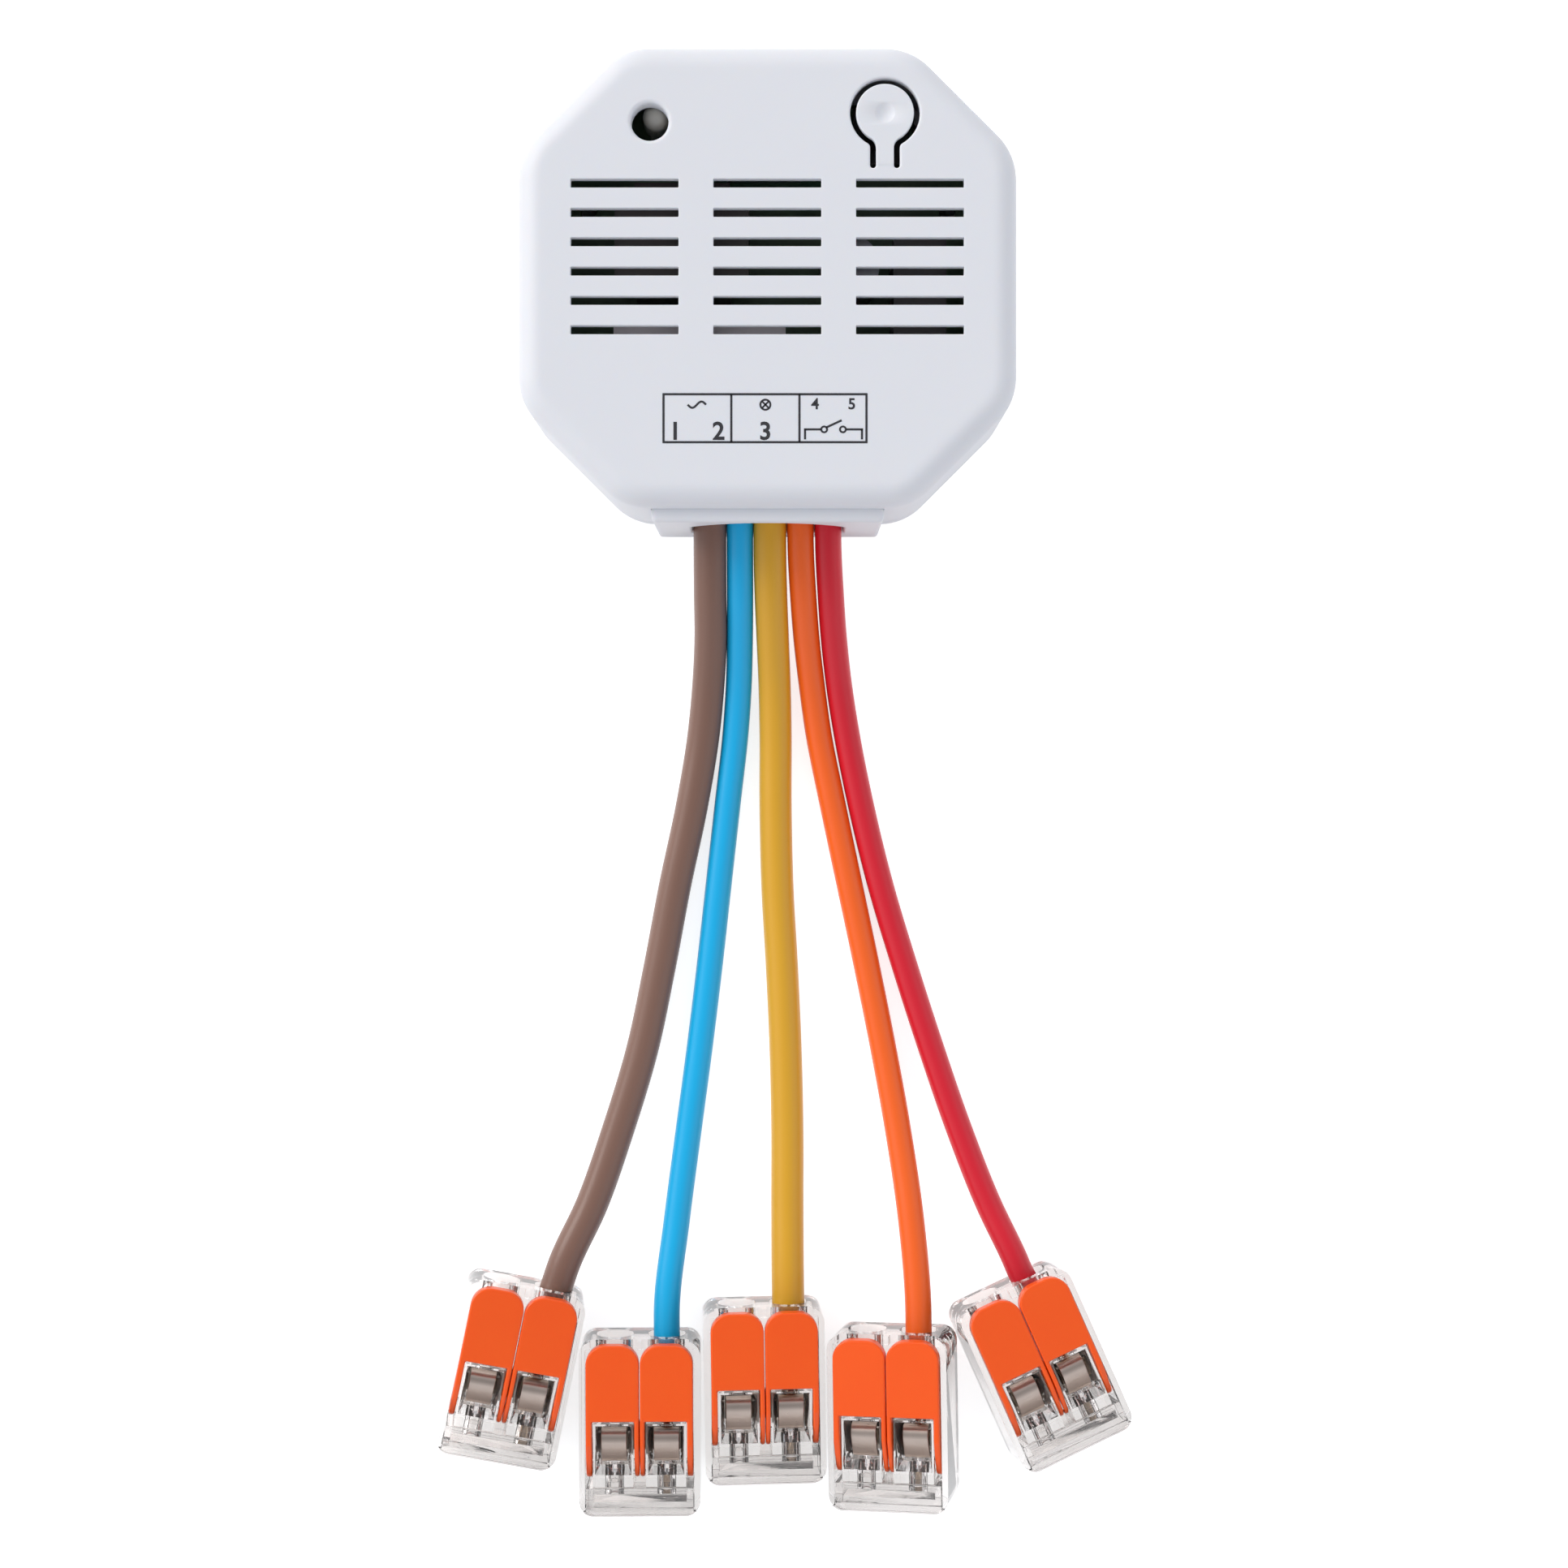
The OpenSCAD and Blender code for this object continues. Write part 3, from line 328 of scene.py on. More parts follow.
@dataclass
class Surface:
    """A mesh under construction: grids of points with smooth quads, and flat fills between rings."""

    points: list[Array] = field(default_factory=list)
    quads: list[Array] = field(default_factory=list)
    flats: list[Array] = field(default_factory=list)
    straight: list[Array] = field(default_factory=list)

    def count(self) -> int:
        """Number of points so far."""
        return sum(len(p) for p in self.points)

    def loft(self, rings: Array) -> Array:
        """Join closed rings of equal length by quads, each ring to the next.

        A ring runs counter-clockwise seen against the direction in which the rings rise, so that
        the faces look outwards.

        Args:
            rings: Array of (rings, points, 3).

        Returns:
            The point numbers as an array of (rings, points).
        """
        m, n, _ = rings.shape
        grid = self.count() + np.arange(m * n).reshape(m, n)
        self.points.append(rings.reshape(-1, 3))
        ahead = np.roll(grid, -1, axis=1)
        self.quads.append(np.stack([grid[:-1], ahead[:-1], ahead[1:], grid[1:]], axis=-1).reshape(-1, 4))
        return grid

    def fill(self, loops: Sequence[Array], facing: Array = UP) -> None:
        """Close a flat face between an outer ring and the rings of its holes.

        Args:
            loops: Point numbers of the outer ring, then those of each hole.
            facing: The direction that the face looks in.
        """
        co = np.concatenate(self.points)
        index = np.concatenate(loops)
        tri = index[np.array(tessellate_polygon([co[loop].tolist() for loop in loops]))]
        normal = np.cross(co[tri[:, 1]] - co[tri[:, 0]], co[tri[:, 2]] - co[tri[:, 0]])
        turned = normal @ facing < 0
        tri[turned] = tri[turned][:, ::-1]
        self.flats.append(tri[np.linalg.norm(normal, axis=1) > NO_AREA])

    def capped(self, rings: Array) -> None:
        """Loft rings and close both ends.

        Args:
            rings: Array of (rings, points, 3).
        """
        grid = self.loft(rings)
        axis = rings[-1].mean(axis=0) - rings[0].mean(axis=0)
        self.fill([grid[0]], -axis)
        self.fill([grid[-1]], axis)

    def absorb(self, mesh: bpy.types.Mesh, shift: Sequence[float]) -> None:
        """Take in another mesh's triangles, whose points are already millimetres.

        Args:
            mesh: The mesh to take in.
            shift: Where its origin goes.
        """
        mesh.calc_loop_triangles()
        co = np.empty(len(mesh.vertices) * 3)
        mesh.vertices.foreach_get("co", co)
        tri = np.empty(len(mesh.loop_triangles) * 3, dtype=np.int32)
        mesh.loop_triangles.foreach_get("vertices", tri)
        self.flats.append(tri.reshape(-1, 3) + self.count())
        self.points.append(co.reshape(-1, 3) + np.asarray(shift))

    def join(self, other: "Surface") -> None:
        """Take in all points and faces of another surface.

        Args:
            other: The surface to take in.
        """
        shift = self.count()
        self.points += other.points
        self.quads += [quad + shift for quad in other.quads]
        self.flats += [flat + shift for flat in other.flats]

    def placed(self, place: Callable[[Array], Array]) -> "Surface":
        """Move all points by a function of their array, and give this surface back."""
        self.points = [place(p) for p in self.points]
        return self

    def piece(self, name: str, slot: str, finish: Finish | None = None,
              crease: float = CREASE) -> bpy.types.Object:
        """Store the surface as an object with its finish.

        Args:
            name: Name of the piece.
            slot: Material slot of the record.
            finish: The finish, where it isn't that of the slot.
            crease: Angle in degrees above which an edge stays sharp.

        Returns:
            The new object, at the origin.
        """
        co = np.concatenate(self.points) * MM
        quads = np.concatenate(self.quads).tolist() if self.quads else []
        flats = np.concatenate(self.flats).tolist() if self.flats else []
        mesh = bpy.data.meshes.new(name)
        mesh.from_pydata(co.tolist(), [], quads + flats)
        mesh.polygons.foreach_set("use_smooth", np.repeat([True, False], [len(quads), len(flats)]))
        if self.straight:
            line = mesh.attributes.new("straight", "FLOAT_VECTOR", "POINT")
            line.data.foreach_set("vector", (np.concatenate(self.straight) * MM).ravel())
        mesh.set_sharp_from_angle(angle=math.radians(crease))
        mesh.materials.append((finish or FINISHES[slot]).material())
        mesh.update()
        piece = in_scene(name, mesh)
        return piece


def arcs(centres: Array, radius: float, first: float, sweep: float, steps: int) -> Array:
    """Equal arcs round several centres, joined end to end: centre + radius (cos a, sin a).

    Args:
        centres: One centre for each corner of an outline.
        radius: Radius of every arc.
        first: Angle in degrees at which the first arc starts; each next one goes on from there.
        sweep: Angle of one arc in degrees.
        steps: Points on each arc.

    Returns:
        The points as an array of (points, 2).
    """
    starts = first + sweep * np.arange(len(centres))
    angle = np.radians(starts[:, None] + sweep * np.linspace(0, 1, steps))
    way = np.stack([np.cos(angle), np.sin(angle)], axis=-1)
    return (np.asarray(centres, dtype=float)[:, None] + radius * way).reshape(-1, 2)


def rounded_box(size: Sequence[float], radius: float, steps: int,
                at: Sequence[float] = (0.0, 0.0)) -> Outline:
    """Outline of a box with rounded corners of so many points each, as a function of its growth."""
    core = np.array([[1, 1], [-1, 1], [-1, -1], [1, -1]]) * (np.asarray(size) / 2 - radius) + np.asarray(at)
    return lambda grow: arcs(core, radius + grow, 0, 90, steps)


def circle(radius: float, at: Sequence[float], steps: int = 48) -> Outline:
    """Outline of a circle as a function of its growth."""
    return lambda grow: arcs([at], radius + grow, 0, 360, steps + 1)[:-1]


def carried(outline: Outline, profile: Profile) -> Array:
    """Carry a profile round an outline.

    Ring k is the outline grown by the first number of the profile's pair k, at the height of its second.

    Args:
        outline: The outline as a function of its growth.
        profile: Pairs of growth and height.

    Returns:
        The rings, (rings, points, 3).
    """
    flat = np.stack([outline(grow) for grow, _ in profile])
    height = np.array([z for _, z in profile])[:, None, None]
    return np.concatenate([flat, np.broadcast_to(height, flat.shape[:2] + (1,))], axis=-1)


def quarter(grow: float, height: float, to: Pair, steps: int) -> list[Pair]:
    """Quarter ellipse of a profile, which leaves (grow, height) upright and arrives level at `to`."""
    a = np.linspace(0, math.pi / 2, steps)
    return list(zip((grow + (to[0] - grow) * (1 - np.cos(a))).tolist(),
                    (height + (to[1] - height) * np.sin(a)).tolist()))


def smooth_line(knots: Array, spacing: float) -> Array:
    """A smooth curve through points: a cubic between each two, whose slopes are those of their neighbours.

    Args:
        knots: Points that the curve passes, (points, 3).
        spacing: Distance between the points that it gives.

    Returns:
        Points on the curve.
    """
    chord = np.concatenate([[0.0], np.cumsum(np.linalg.norm(np.diff(knots, axis=0), axis=1))])
    slope = np.gradient(knots, chord, axis=0)
    s = np.linspace(0, chord[-1], int(chord[-1] / spacing) + 1)
    k = np.clip(np.searchsorted(chord, s, side="right") - 1, 0, len(chord) - 2)
    h = (chord[k + 1] - chord[k])[:, None]
    t = ((s - chord[k]) / h[:, 0])[:, None]
    return (knots[k] * (1 + 2 * t) * (1 - t) ** 2 + slope[k] * h * t * (1 - t) ** 2
            + knots[k + 1] * t ** 2 * (3 - 2 * t) + slope[k + 1] * h * t ** 2 * (t - 1))


def tube(path: Array, radius: Array, sides: int) -> tuple[Array, Array]:
    """A ring across each point of a path: point + radius (cos a side + sin a top).

    Args:
        path: Points of the path, (points, 3).
        radius: Radius at each point and angle, or one that broadcasts to that.
        sides: Points on each ring.

    Returns:
        The rings, and the same rings on the straightened path, which runs along z.
    """
    along = np.gradient(path, axis=0)
    along /= np.linalg.norm(along, axis=1, keepdims=True)
    side = np.cross(UP, along)
    side /= np.linalg.norm(side, axis=1, keepdims=True)
    top = np.cross(along, side)
    a = np.linspace(0, 2 * math.pi, sides, endpoint=False)
    x, y = radius * np.cos(a), radius * np.sin(a)
    x, y = np.broadcast_to(x, (len(path), sides)), np.broadcast_to(y, (len(path), sides))
    rings = path[:, None] + x[..., None] * side[:, None] + y[..., None] * top[:, None]
    far = np.concatenate([[0.0], np.cumsum(np.linalg.norm(np.diff(path, axis=0), axis=1))])
    return rings, np.stack([x, y, np.broadcast_to(far[:, None], x.shape)], axis=-1)


# How a CAD mesh is cleaned and eased: points this close are one, faces this flat are one, and edges
# above the two other angles, in degrees, are drawn sharp and get a bevel of so many steps.
WELD = 0.002
FLAT_DEG, SHARP_DEG, EASED_DEG = 0.5, 30.0, 40.0
EASE_STEPS = 2


def eased_copy(node: str, name: str, slot: str, width: float, clamp: bool) -> bpy.types.Object:
    """Copy a CAD node, merge its triangles into faces and ease its edges by a bevel.

    Args:
        node: The CAD node, which the copy replaces.
        name: Name of the piece.
        slot: Material slot of the record.
        width: Width of the eased edges.
        clamp: Whether the width gives way where faces are narrow.

    Returns:
        The new piece.
    """
    mesh = frame["nodes"][node].data.copy()
    mesh.name = name
    work = bmesh.new()
    work.from_mesh(mesh)
    bmesh.ops.remove_doubles(work, verts=work.verts, dist=WELD * MM)
    bmesh.ops.dissolve_limit(work, angle_limit=math.radians(FLAT_DEG), verts=work.verts, edges=work.edges)
    work.to_mesh(mesh)
    work.free()
    mesh.polygons.foreach_set("use_smooth", np.ones(len(mesh.polygons), dtype=bool))
    mesh.set_sharp_from_angle(angle=math.radians(SHARP_DEG))
    mesh.materials.clear()
    mesh.materials.append(FINISHES[slot].material())
    piece = in_scene(name, mesh)
    ease = piece.modifiers.new("eased_edges", "BEVEL")
    ease.width = width * MM
    ease.segments = EASE_STEPS
    ease.use_clamp_overlap = clamp
    ease.limit_method = "ANGLE"
    ease.angle_limit = math.radians(EASED_DEG)
    ease.harden_normals = True
    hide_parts(node)
    return piece


# The studio


@dataclass
class Studio:
    """Camera straight above, pale floor, soft light from all round and one large lamp at the upper left."""

    foot: Pair = (1.73, -52.77)
    eye: float = 300.0
    focal_px: float = 3330.0
    frame_px: float = 1932.0
    sensor: float = 36.0
    near: float = 10.0
    floor_half: float = 1500.0
    floor_z: float = -0.02
    paper: str = "#ececec"
    paper_roughness: float = 0.9
    paper_gloss: float = 0.1
    floor_glow: float = 0.72
    glow_through: float = 0.74
    horizon: float = 0.58
    walls: float = 1.13
    wall_height: float = 0.5
    zenith: float = 0.38
    wall_tint: str = "#f7f9ff"
    key: float = 0.5
    key_angle: float = 34.0
    key_from: Triple = (-0.745, 0.5, 0.44)
    key_tint: str = "#fffaf4"

    def build(self) -> None:
        """Make the camera, the floor, the sky and the lamp."""
        bpy.context.scene.view_settings.view_transform = "Standard"
        self.camera()
        self.floor()
        self.sky()
        self.lamp()

    def camera(self) -> None:
        """Look straight down with the frame of the photograph."""
        eye = in_scene("camera", bpy.data.cameras.new("camera"))
        eye.data.sensor_width = self.sensor
        eye.data.lens = self.sensor * self.focal_px / self.frame_px
        eye.data.clip_start = self.near * MM
        eye.location = (self.foot[0] * MM, self.foot[1] * MM, self.eye * MM)
        bpy.context.scene.camera = eye

    def floor(self) -> None:
        """Lay a large pale sheet that keeps shadows.

        It shows white to the camera, to gloss and through clear parts.
        """
        x = np.array([-1, 1, 1, -1]) * self.floor_half * MM
        y = np.array([-1, -1, 1, 1]) * self.floor_half * MM
        mesh = bpy.data.meshes.new("floor")
        mesh.from_pydata(np.column_stack([x, y, np.full(4, self.floor_z * MM)]).tolist(), [], [[0, 1, 2, 3]])
        paper = bpy.data.materials.new("white_paper_sweep")
        paper.use_nodes = True
        tree = paper.node_tree
        skin = tree.nodes["Principled BSDF"]
        skin.inputs["Base Color"].default_value = linear(self.paper)
        skin.inputs["Roughness"].default_value = self.paper_roughness
        skin.inputs["Specular IOR Level"].default_value = self.paper_gloss
        ray = add_node(tree, "ShaderNodeLightPath", {}).outputs
        seen = add_node(tree, "ShaderNodeMath", {0: ray["Is Camera Ray"], 1: ray["Is Glossy Ray"]},
                        operation="MAXIMUM").outputs[0]
        straight = add_node(tree, "ShaderNodeMath", {0: seen, 1: self.floor_glow},
                            operation="MULTIPLY").outputs[0]
        through = add_node(tree, "ShaderNodeMath", {0: ray["Is Transmission Ray"], 1: self.glow_through},
                           operation="MULTIPLY").outputs[0]
        lift = add_node(tree, "ShaderNodeMath", {0: straight, 1: through}, operation="MAXIMUM").outputs[0]
        glow = add_node(tree, "ShaderNodeEmission", {"Strength": lift}).outputs[0]
        both = add_node(tree, "ShaderNodeAddShader", {0: skin.outputs[0], 1: glow}).outputs[0]
        tree.links.new(both, tree.nodes["Material Output"].inputs["Surface"])
        mesh.materials.append(paper)
        floor = in_scene("floor", mesh)

    def sky(self) -> None:
        """Light from all round, as from four soft walls.

        They are brightest half way up, and dimmer overhead and at the floor. The camera sees plain white.
        """
        world = bpy.data.worlds.new("soft_room")
        world.use_nodes = True
        bpy.context.scene.world = world
        tree = world.node_tree
        way = add_node(tree, "ShaderNodeTexCoord", {}).outputs["Generated"]
        height = add_node(tree, "ShaderNodeSeparateXYZ", {"Vector": way}).outputs["Z"]
        rise = add_node(tree, "ShaderNodeMapRange",
                        {"Value": height, "From Max": self.wall_height, "To Min": self.horizon,
                         "To Max": self.walls}).outputs[0]
        fall = add_node(tree, "ShaderNodeMapRange",
                        {"Value": height, "From Min": self.wall_height, "To Min": self.walls,
                         "To Max": self.zenith}).outputs[0]
        level = add_node(tree, "ShaderNodeMath", {0: rise, 1: fall}, operation="MINIMUM").outputs[0]
        room = tree.nodes["Background"]
        room.inputs["Color"].default_value = linear(self.wall_tint)
        tree.links.new(level, room.inputs["Strength"])
        plain = add_node(tree, "ShaderNodeBackground", {"Color": (1, 1, 1, 1), "Strength": 1.0}).outputs[0]
        ray = add_node(tree, "ShaderNodeLightPath", {}).outputs["Is Camera Ray"]
        both = add_node(tree, "ShaderNodeMixShader", {0: ray, 1: room.outputs[0], 2: plain}).outputs[0]
        tree.links.new(both, tree.nodes["World Output"].inputs["Surface"])

    def lamp(self) -> None:
        """One broad lamp at the upper left, as far as a window."""
        light = bpy.data.lights.new("key", "SUN")
        light.energy = self.key * math.pi
        light.angle = math.radians(self.key_angle)
        light.color = linear(self.key_tint)[:3]
        lamp = in_scene("key", light)
        lamp.rotation_euler = (-Vector(self.key_from)).to_track_quat("-Z", "Y").to_euler()


# Leads and splices


@dataclass(frozen=True)
class Seat:
    """Where a splice lies: its middle, its turn about the upright and its lean on one long edge."""

    x: float
    y: float
    yaw: float
    tilt: float
    half_width: float = 6.55

    def place(self, points: Array) -> Array:
        """Turn points of the splice's own frame into the module's: lean about y, turn about z, then move.

        Args:
            points: Points with x across, y towards the entries and z up from the splice's floor.

        Returns:
            The same points in the module's frame.
        """
        a, b = math.radians(self.tilt), math.radians(self.yaw)
        lean = np.array([[math.cos(a), 0, math.sin(a)], [0, 1, 0], [-math.sin(a), 0, math.cos(a)]])
        turn = np.array([[math.cos(b), -math.sin(b), 0], [math.sin(b), math.cos(b), 0], [0, 0, 1]])
        lift = self.half_width * abs(math.sin(a))
        return np.asarray(points) @ (turn @ lean).T + np.array([self.x, self.y, lift])


@dataclass
class Lead:
    """One insulated lead with its bare strands, from the board to the clamp of its splice."""

    wire: Wire
    gauge: Gauge
    start_x: float
    seat: Seat
    route: tuple[Triple, ...]
    strand: float
    shift: float = 0.0
    slant: float = 0.0
    lead_z: float = 6.95
    inner_y: float = -20.8
    mouth_y: float = -25.0
    seen_y: float = -24.9
    pole: float = 2.85
    port_z: float = 3.2
    entry: float = 9.45
    run_in: float = 2.5
    jacket_end: float = 6.6
    core_end: float = -6.9
    board_end: float = -17.2
    spacing: float = 0.8
    sides: int = 28
    lobes: int = 7
    lobe_sides: int = 6
    core_rings: int = 40
    core_dip: float = 0.14
    core_crease: float = 80.0

    def line(self) -> Array:
        """The lead's route: out of the board, through the collar, over the floor and into its port.

        Returns:
            Points of the smooth middle line.
        """
        out = [[self.start_x, self.inner_y, self.lead_z], [self.start_x, self.mouth_y, self.lead_z]]
        beside = self.pole + self.shift
        leaving = beside + self.run_in * math.tan(math.radians(self.slant))
        port = [[leaving, self.entry + self.run_in, self.port_z], [beside, self.entry, self.port_z],
                [self.pole, self.jacket_end, self.port_z]]
        return smooth_line(np.concatenate([out, self.route, self.seat.place(np.array(port))]), self.spacing)

    def build(self) -> bpy.types.Object:
        """Make the jacket, a round tube on the route.

        Returns:
            The jacket.
        """
        jacket = Surface()
        rings, straight = tube(self.line(), np.array(self.gauge.value / 2), self.sides)
        jacket.capped(rings)
        jacket.straight.append(straight.reshape(-1, 3))
        piece = jacket.piece(f"{self.wire.value}_jacket", f"{self.wire.value}_pvc")
        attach(piece, "module")
        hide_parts(f"{self.wire.value}_lead")
        return piece

    def bare_ends(self) -> bpy.types.Object:
        """Make the two bare ends: bundles whose radius dips between the strands, with one turn on the way.

        Returns:
            The bare ends.
        """
        along = np.linspace(0, 1, self.core_rings)[:, None]
        at_board = (np.array([self.start_x, self.inner_y, self.lead_z])
                    + along * np.array([0, self.board_end - self.inner_y, 0]))
        in_splice = self.seat.place(np.array([self.pole, self.jacket_end, self.port_z])
                                    + along * np.array([0, self.core_end - self.jacket_end, 0]))
        sides = self.lobes * self.lobe_sides
        a = np.linspace(0, 2 * math.pi, sides, endpoint=False)
        lobe = np.abs(np.cos(self.lobes / 2 * (a + 2 * math.pi * along)))
        radius = self.strand / 2 * (1 - self.core_dip + self.core_dip * lobe)
        bundle = Surface()
        for path in (at_board, in_splice):
            bundle.capped(tube(path, radius, sides)[0])
        piece = bundle.piece(f"{self.wire.value}_strands", "tinned_strands", crease=self.core_crease)
        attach(piece, "module")
        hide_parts(f"{self.wire.value}_core")
        return piece

    def declare(self, jacket: bpy.types.Object, carried_pieces: list[bpy.types.Object]) -> None:
        """Work out the lead's middle line again, and do nothing more with it.

        Args:
            jacket: The jacket; not used.
            carried_pieces: Pieces at its far end; not used.
        """
        path = self.line()


@dataclass
class Splice:
    """A two-way lever splice: clear housing and cap, two levers, their clamps and a busbar."""

    wire: Wire
    edge: float = 0.14
    lever_edge: float = 0.19
    metal_edge: float = 0.06

    def build(self) -> list[bpy.types.Object]:
        """Make all pieces of the splice.

        Returns:
            The pieces, which lie at the end of the lead.
        """
        name = self.wire.value
        plan = (("splice_housing", "clear_polycarbonate", self.edge, "module"),
                ("splice_cap", "clear_polycarbonate", self.edge, "module"),
                ("lever_left", "lever_orange", self.lever_edge, f"{name}_lever_left"),
                ("lever_right", "lever_orange", self.lever_edge, f"{name}_lever_right"),
                ("clamps", "spring_steel", self.metal_edge, "module"),
                ("busbar", "tinned_copper", self.metal_edge, "module"))
        pieces = []
        for part, slot, edge, body in plan:
            # Seams on a lever's flat faces would narrow a clamped bevel on some levers and not on others.
            clamp = not part.startswith("lever")
            piece = eased_copy(f"{name}_{part}", f"{name}_{part}_moulded", slot, edge, clamp)
            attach(piece, body)
            pieces.append(piece)
        return pieces


# The case


@dataclass
class Case:
    """The module's case: front cover with its button, and rear tray with its collar."""

    # Outer form, walls and rim
    width: float = 52.0
    length: float = 48.0
    top: float = 19.985
    corner_cut: float = 11.0
    corner_r: float = 6.5
    edge_r: float = 2.5
    wall: float = 1.6
    ceiling: float = 18.8
    floor: float = 1.8
    rim: float = 3.0
    rim_ease: float = 0.2
    seam: float = 0.02
    margin: float = 0.6
    foot: tuple[Pair, ...] = ((-0.5, 0), (-0.25, 0.08), (-0.08, 0.25), (0, 0.5))
    lip_gap: float = 0.1
    lip_t: float = 1.2
    # Openings of the front
    vent: Pair = (11.2, 0.92)
    vent_count: tuple[int, int] = (3, 6)
    vent_pitch: Pair = (14.8, 3.04)
    vent_mid: float = 1.9
    vent_corner: float = 0.1
    vent_ease: float = 0.07
    lamp_at: Pair = (-12.2, 15.9)
    lamp_d: float = 3.9
    lamp_ease: float = 0.4
    lamp_tube: Pair = (0.8, 17.72)
    slot_ease: float = 0.22
    hole_margin: float = 0.04
    # Button
    button_at: Pair = (12.2, 16.8)
    button_r: float = 3.0
    button_slot: float = 0.62
    neck: float = 0.925
    neck_bend: float = 0.5
    neck_steps: int = 6
    root: float = -5.4
    tongue_t: float = 0.8
    tongue_ease: float = 0.12
    tongue_margin: float = 0.03
    dimple: Pair = (1.1, 0.36)
    dimple_end: float = 0.04
    boss_inset: float = 0.15
    post: Pair = (1.2, 2.0)
    post_ease: float = 0.1
    # Collar, its mouth and the leads' slot in it
    collar: Pair = (24.3, 17.45)
    collar_back: float = -21.0
    collar_depth: float = 4.4
    collar_corner: float = 0.55
    collar_ease: float = 0.5
    notch_gap: Pair = (0.08, 0.05)
    notch_box: Triple = (8.0, 0.05, -1.0)
    mouth: Triple = (16.4, 5.05, 16.2)
    mouth_rise: float = 4.7
    mouth_depth: float = 1.6
    mouth_ease: float = 0.3
    mouth_margin: float = 0.05
    lead_slot_top: float = 8.85
    lead_slot_inset: Pair = (0.1, 0.05)
    lead_slot_corner: float = 0.3

    def outline(self, grow: float) -> Array:
        """Eight-sided outline with rounded corners: arcs round the corners of a smaller octagon.

        Args:
            grow: Growth of the outline, below zero inwards.

        Returns:
            The ring, (points, 2).
        """
        cut = self.corner_cut - self.corner_r * (2 - math.sqrt(2))
        w, l = self.width / 2 - self.corner_r, self.length / 2 - self.corner_r
        core = [(w, l - cut), (w - cut, l), (cut - w, l), (-w, l - cut),
                (-w, cut - l), (cut - w, -l), (w - cut, -l), (w, cut - l)]
        return arcs(core, self.corner_r + grow, 0, 45, 9)

    def throat(self, disc: float, half: float, bend: float) -> Array:
        """A disc that flows into a straight neck: an arc on each side touches the neck's line and the disc.

        The arc's centre lies half + bend beside the middle and disc + bend from the disc's centre.

        Args:
            disc: Radius of the disc.
            half: Half the width of the neck.
            bend: Radius of the two arcs.

        Returns:
            The open line from the neck's right side round the disc to its left side, (points, 2).
        """
        x, y = half + bend, -math.sqrt((disc + bend) ** 2 - (half + bend) ** 2)
        touch = math.degrees(math.atan2(y, x))
        corner = arcs([(x, y)], bend, 180, touch, 9)
        bow = arcs([(0, 0)], disc, touch, 180 - 2 * touch, 49)
        return np.concatenate([corner, bow[1:-1], corner[::-1] * np.array([-1, 1])])

    def keyhole(self, grow: float) -> Array:
        """Opening round the button: a circle with two legs that end in half circles beside the neck's root.

        Args:
            grow: Growth of the opening; the neck between the legs gets narrower by it.

        Returns:
            The ring, (points, 2).
        """
        leg, neck = self.neck + self.button_slot + grow, self.neck - grow
        foot = arcs([((leg + neck) / 2, self.root)], (leg - neck) / 2, 180, 180, 9)
        round_it = self.throat(self.button_r + self.button_slot + grow, leg, self.neck_bend - grow)
        return np.concatenate([foot, round_it, foot[::-1] * np.array([-1, 1])]) + np.array(self.button_at)

    def tongue(self, grow: float) -> Array:
        """Outline of the button and its neck: a disc that flows into a straight neck down to the root.

        Args:
            grow: Growth of the outline, which leaves the root line where it is.

        Returns:
            The ring, (points, 2).
        """
        line = self.throat(self.button_r + grow, self.neck + grow, self.neck_bend + self.button_slot - grow)
        up = np.linspace(self.root, line[0, 1], self.neck_steps, endpoint=False)
        side = np.column_stack([np.full(len(up), self.neck + grow), up])
        return np.concatenate([side, line, side[::-1] * np.array([-1, 1])]) + np.array(self.button_at)

    def openings(self) -> list[tuple[Outline, float, Profile]]:
        """All openings of the front, how far their edges are eased and how their walls end.

        The lamp's hole goes on below the ceiling as a short tube.

        Returns:
            For each opening its outline, the width of its eased edge and the end of its wall's profile.
        """
        plain = [(0.0, self.ceiling)]
        thick, low = self.lamp_tube
        tube_end = [(0.0, low), (thick, low), (thick, self.ceiling)]
        columns, rows = self.vent_count
        found: list[tuple[Outline, float, Profile]] = []
        for column in range(columns):
            for row in range(rows):
                at = ((column - (columns - 1) / 2) * self.vent_pitch[0],
                      self.vent_mid + (row - (rows - 1) / 2) * self.vent_pitch[1])
                found.append((rounded_box(self.vent, self.vent_corner, 4, at), self.vent_ease, plain))
        found.append((circle(self.lamp_d / 2, self.lamp_at), self.lamp_ease, tube_end))
        found.append((self.keyhole, self.slot_ease, plain))
        return found

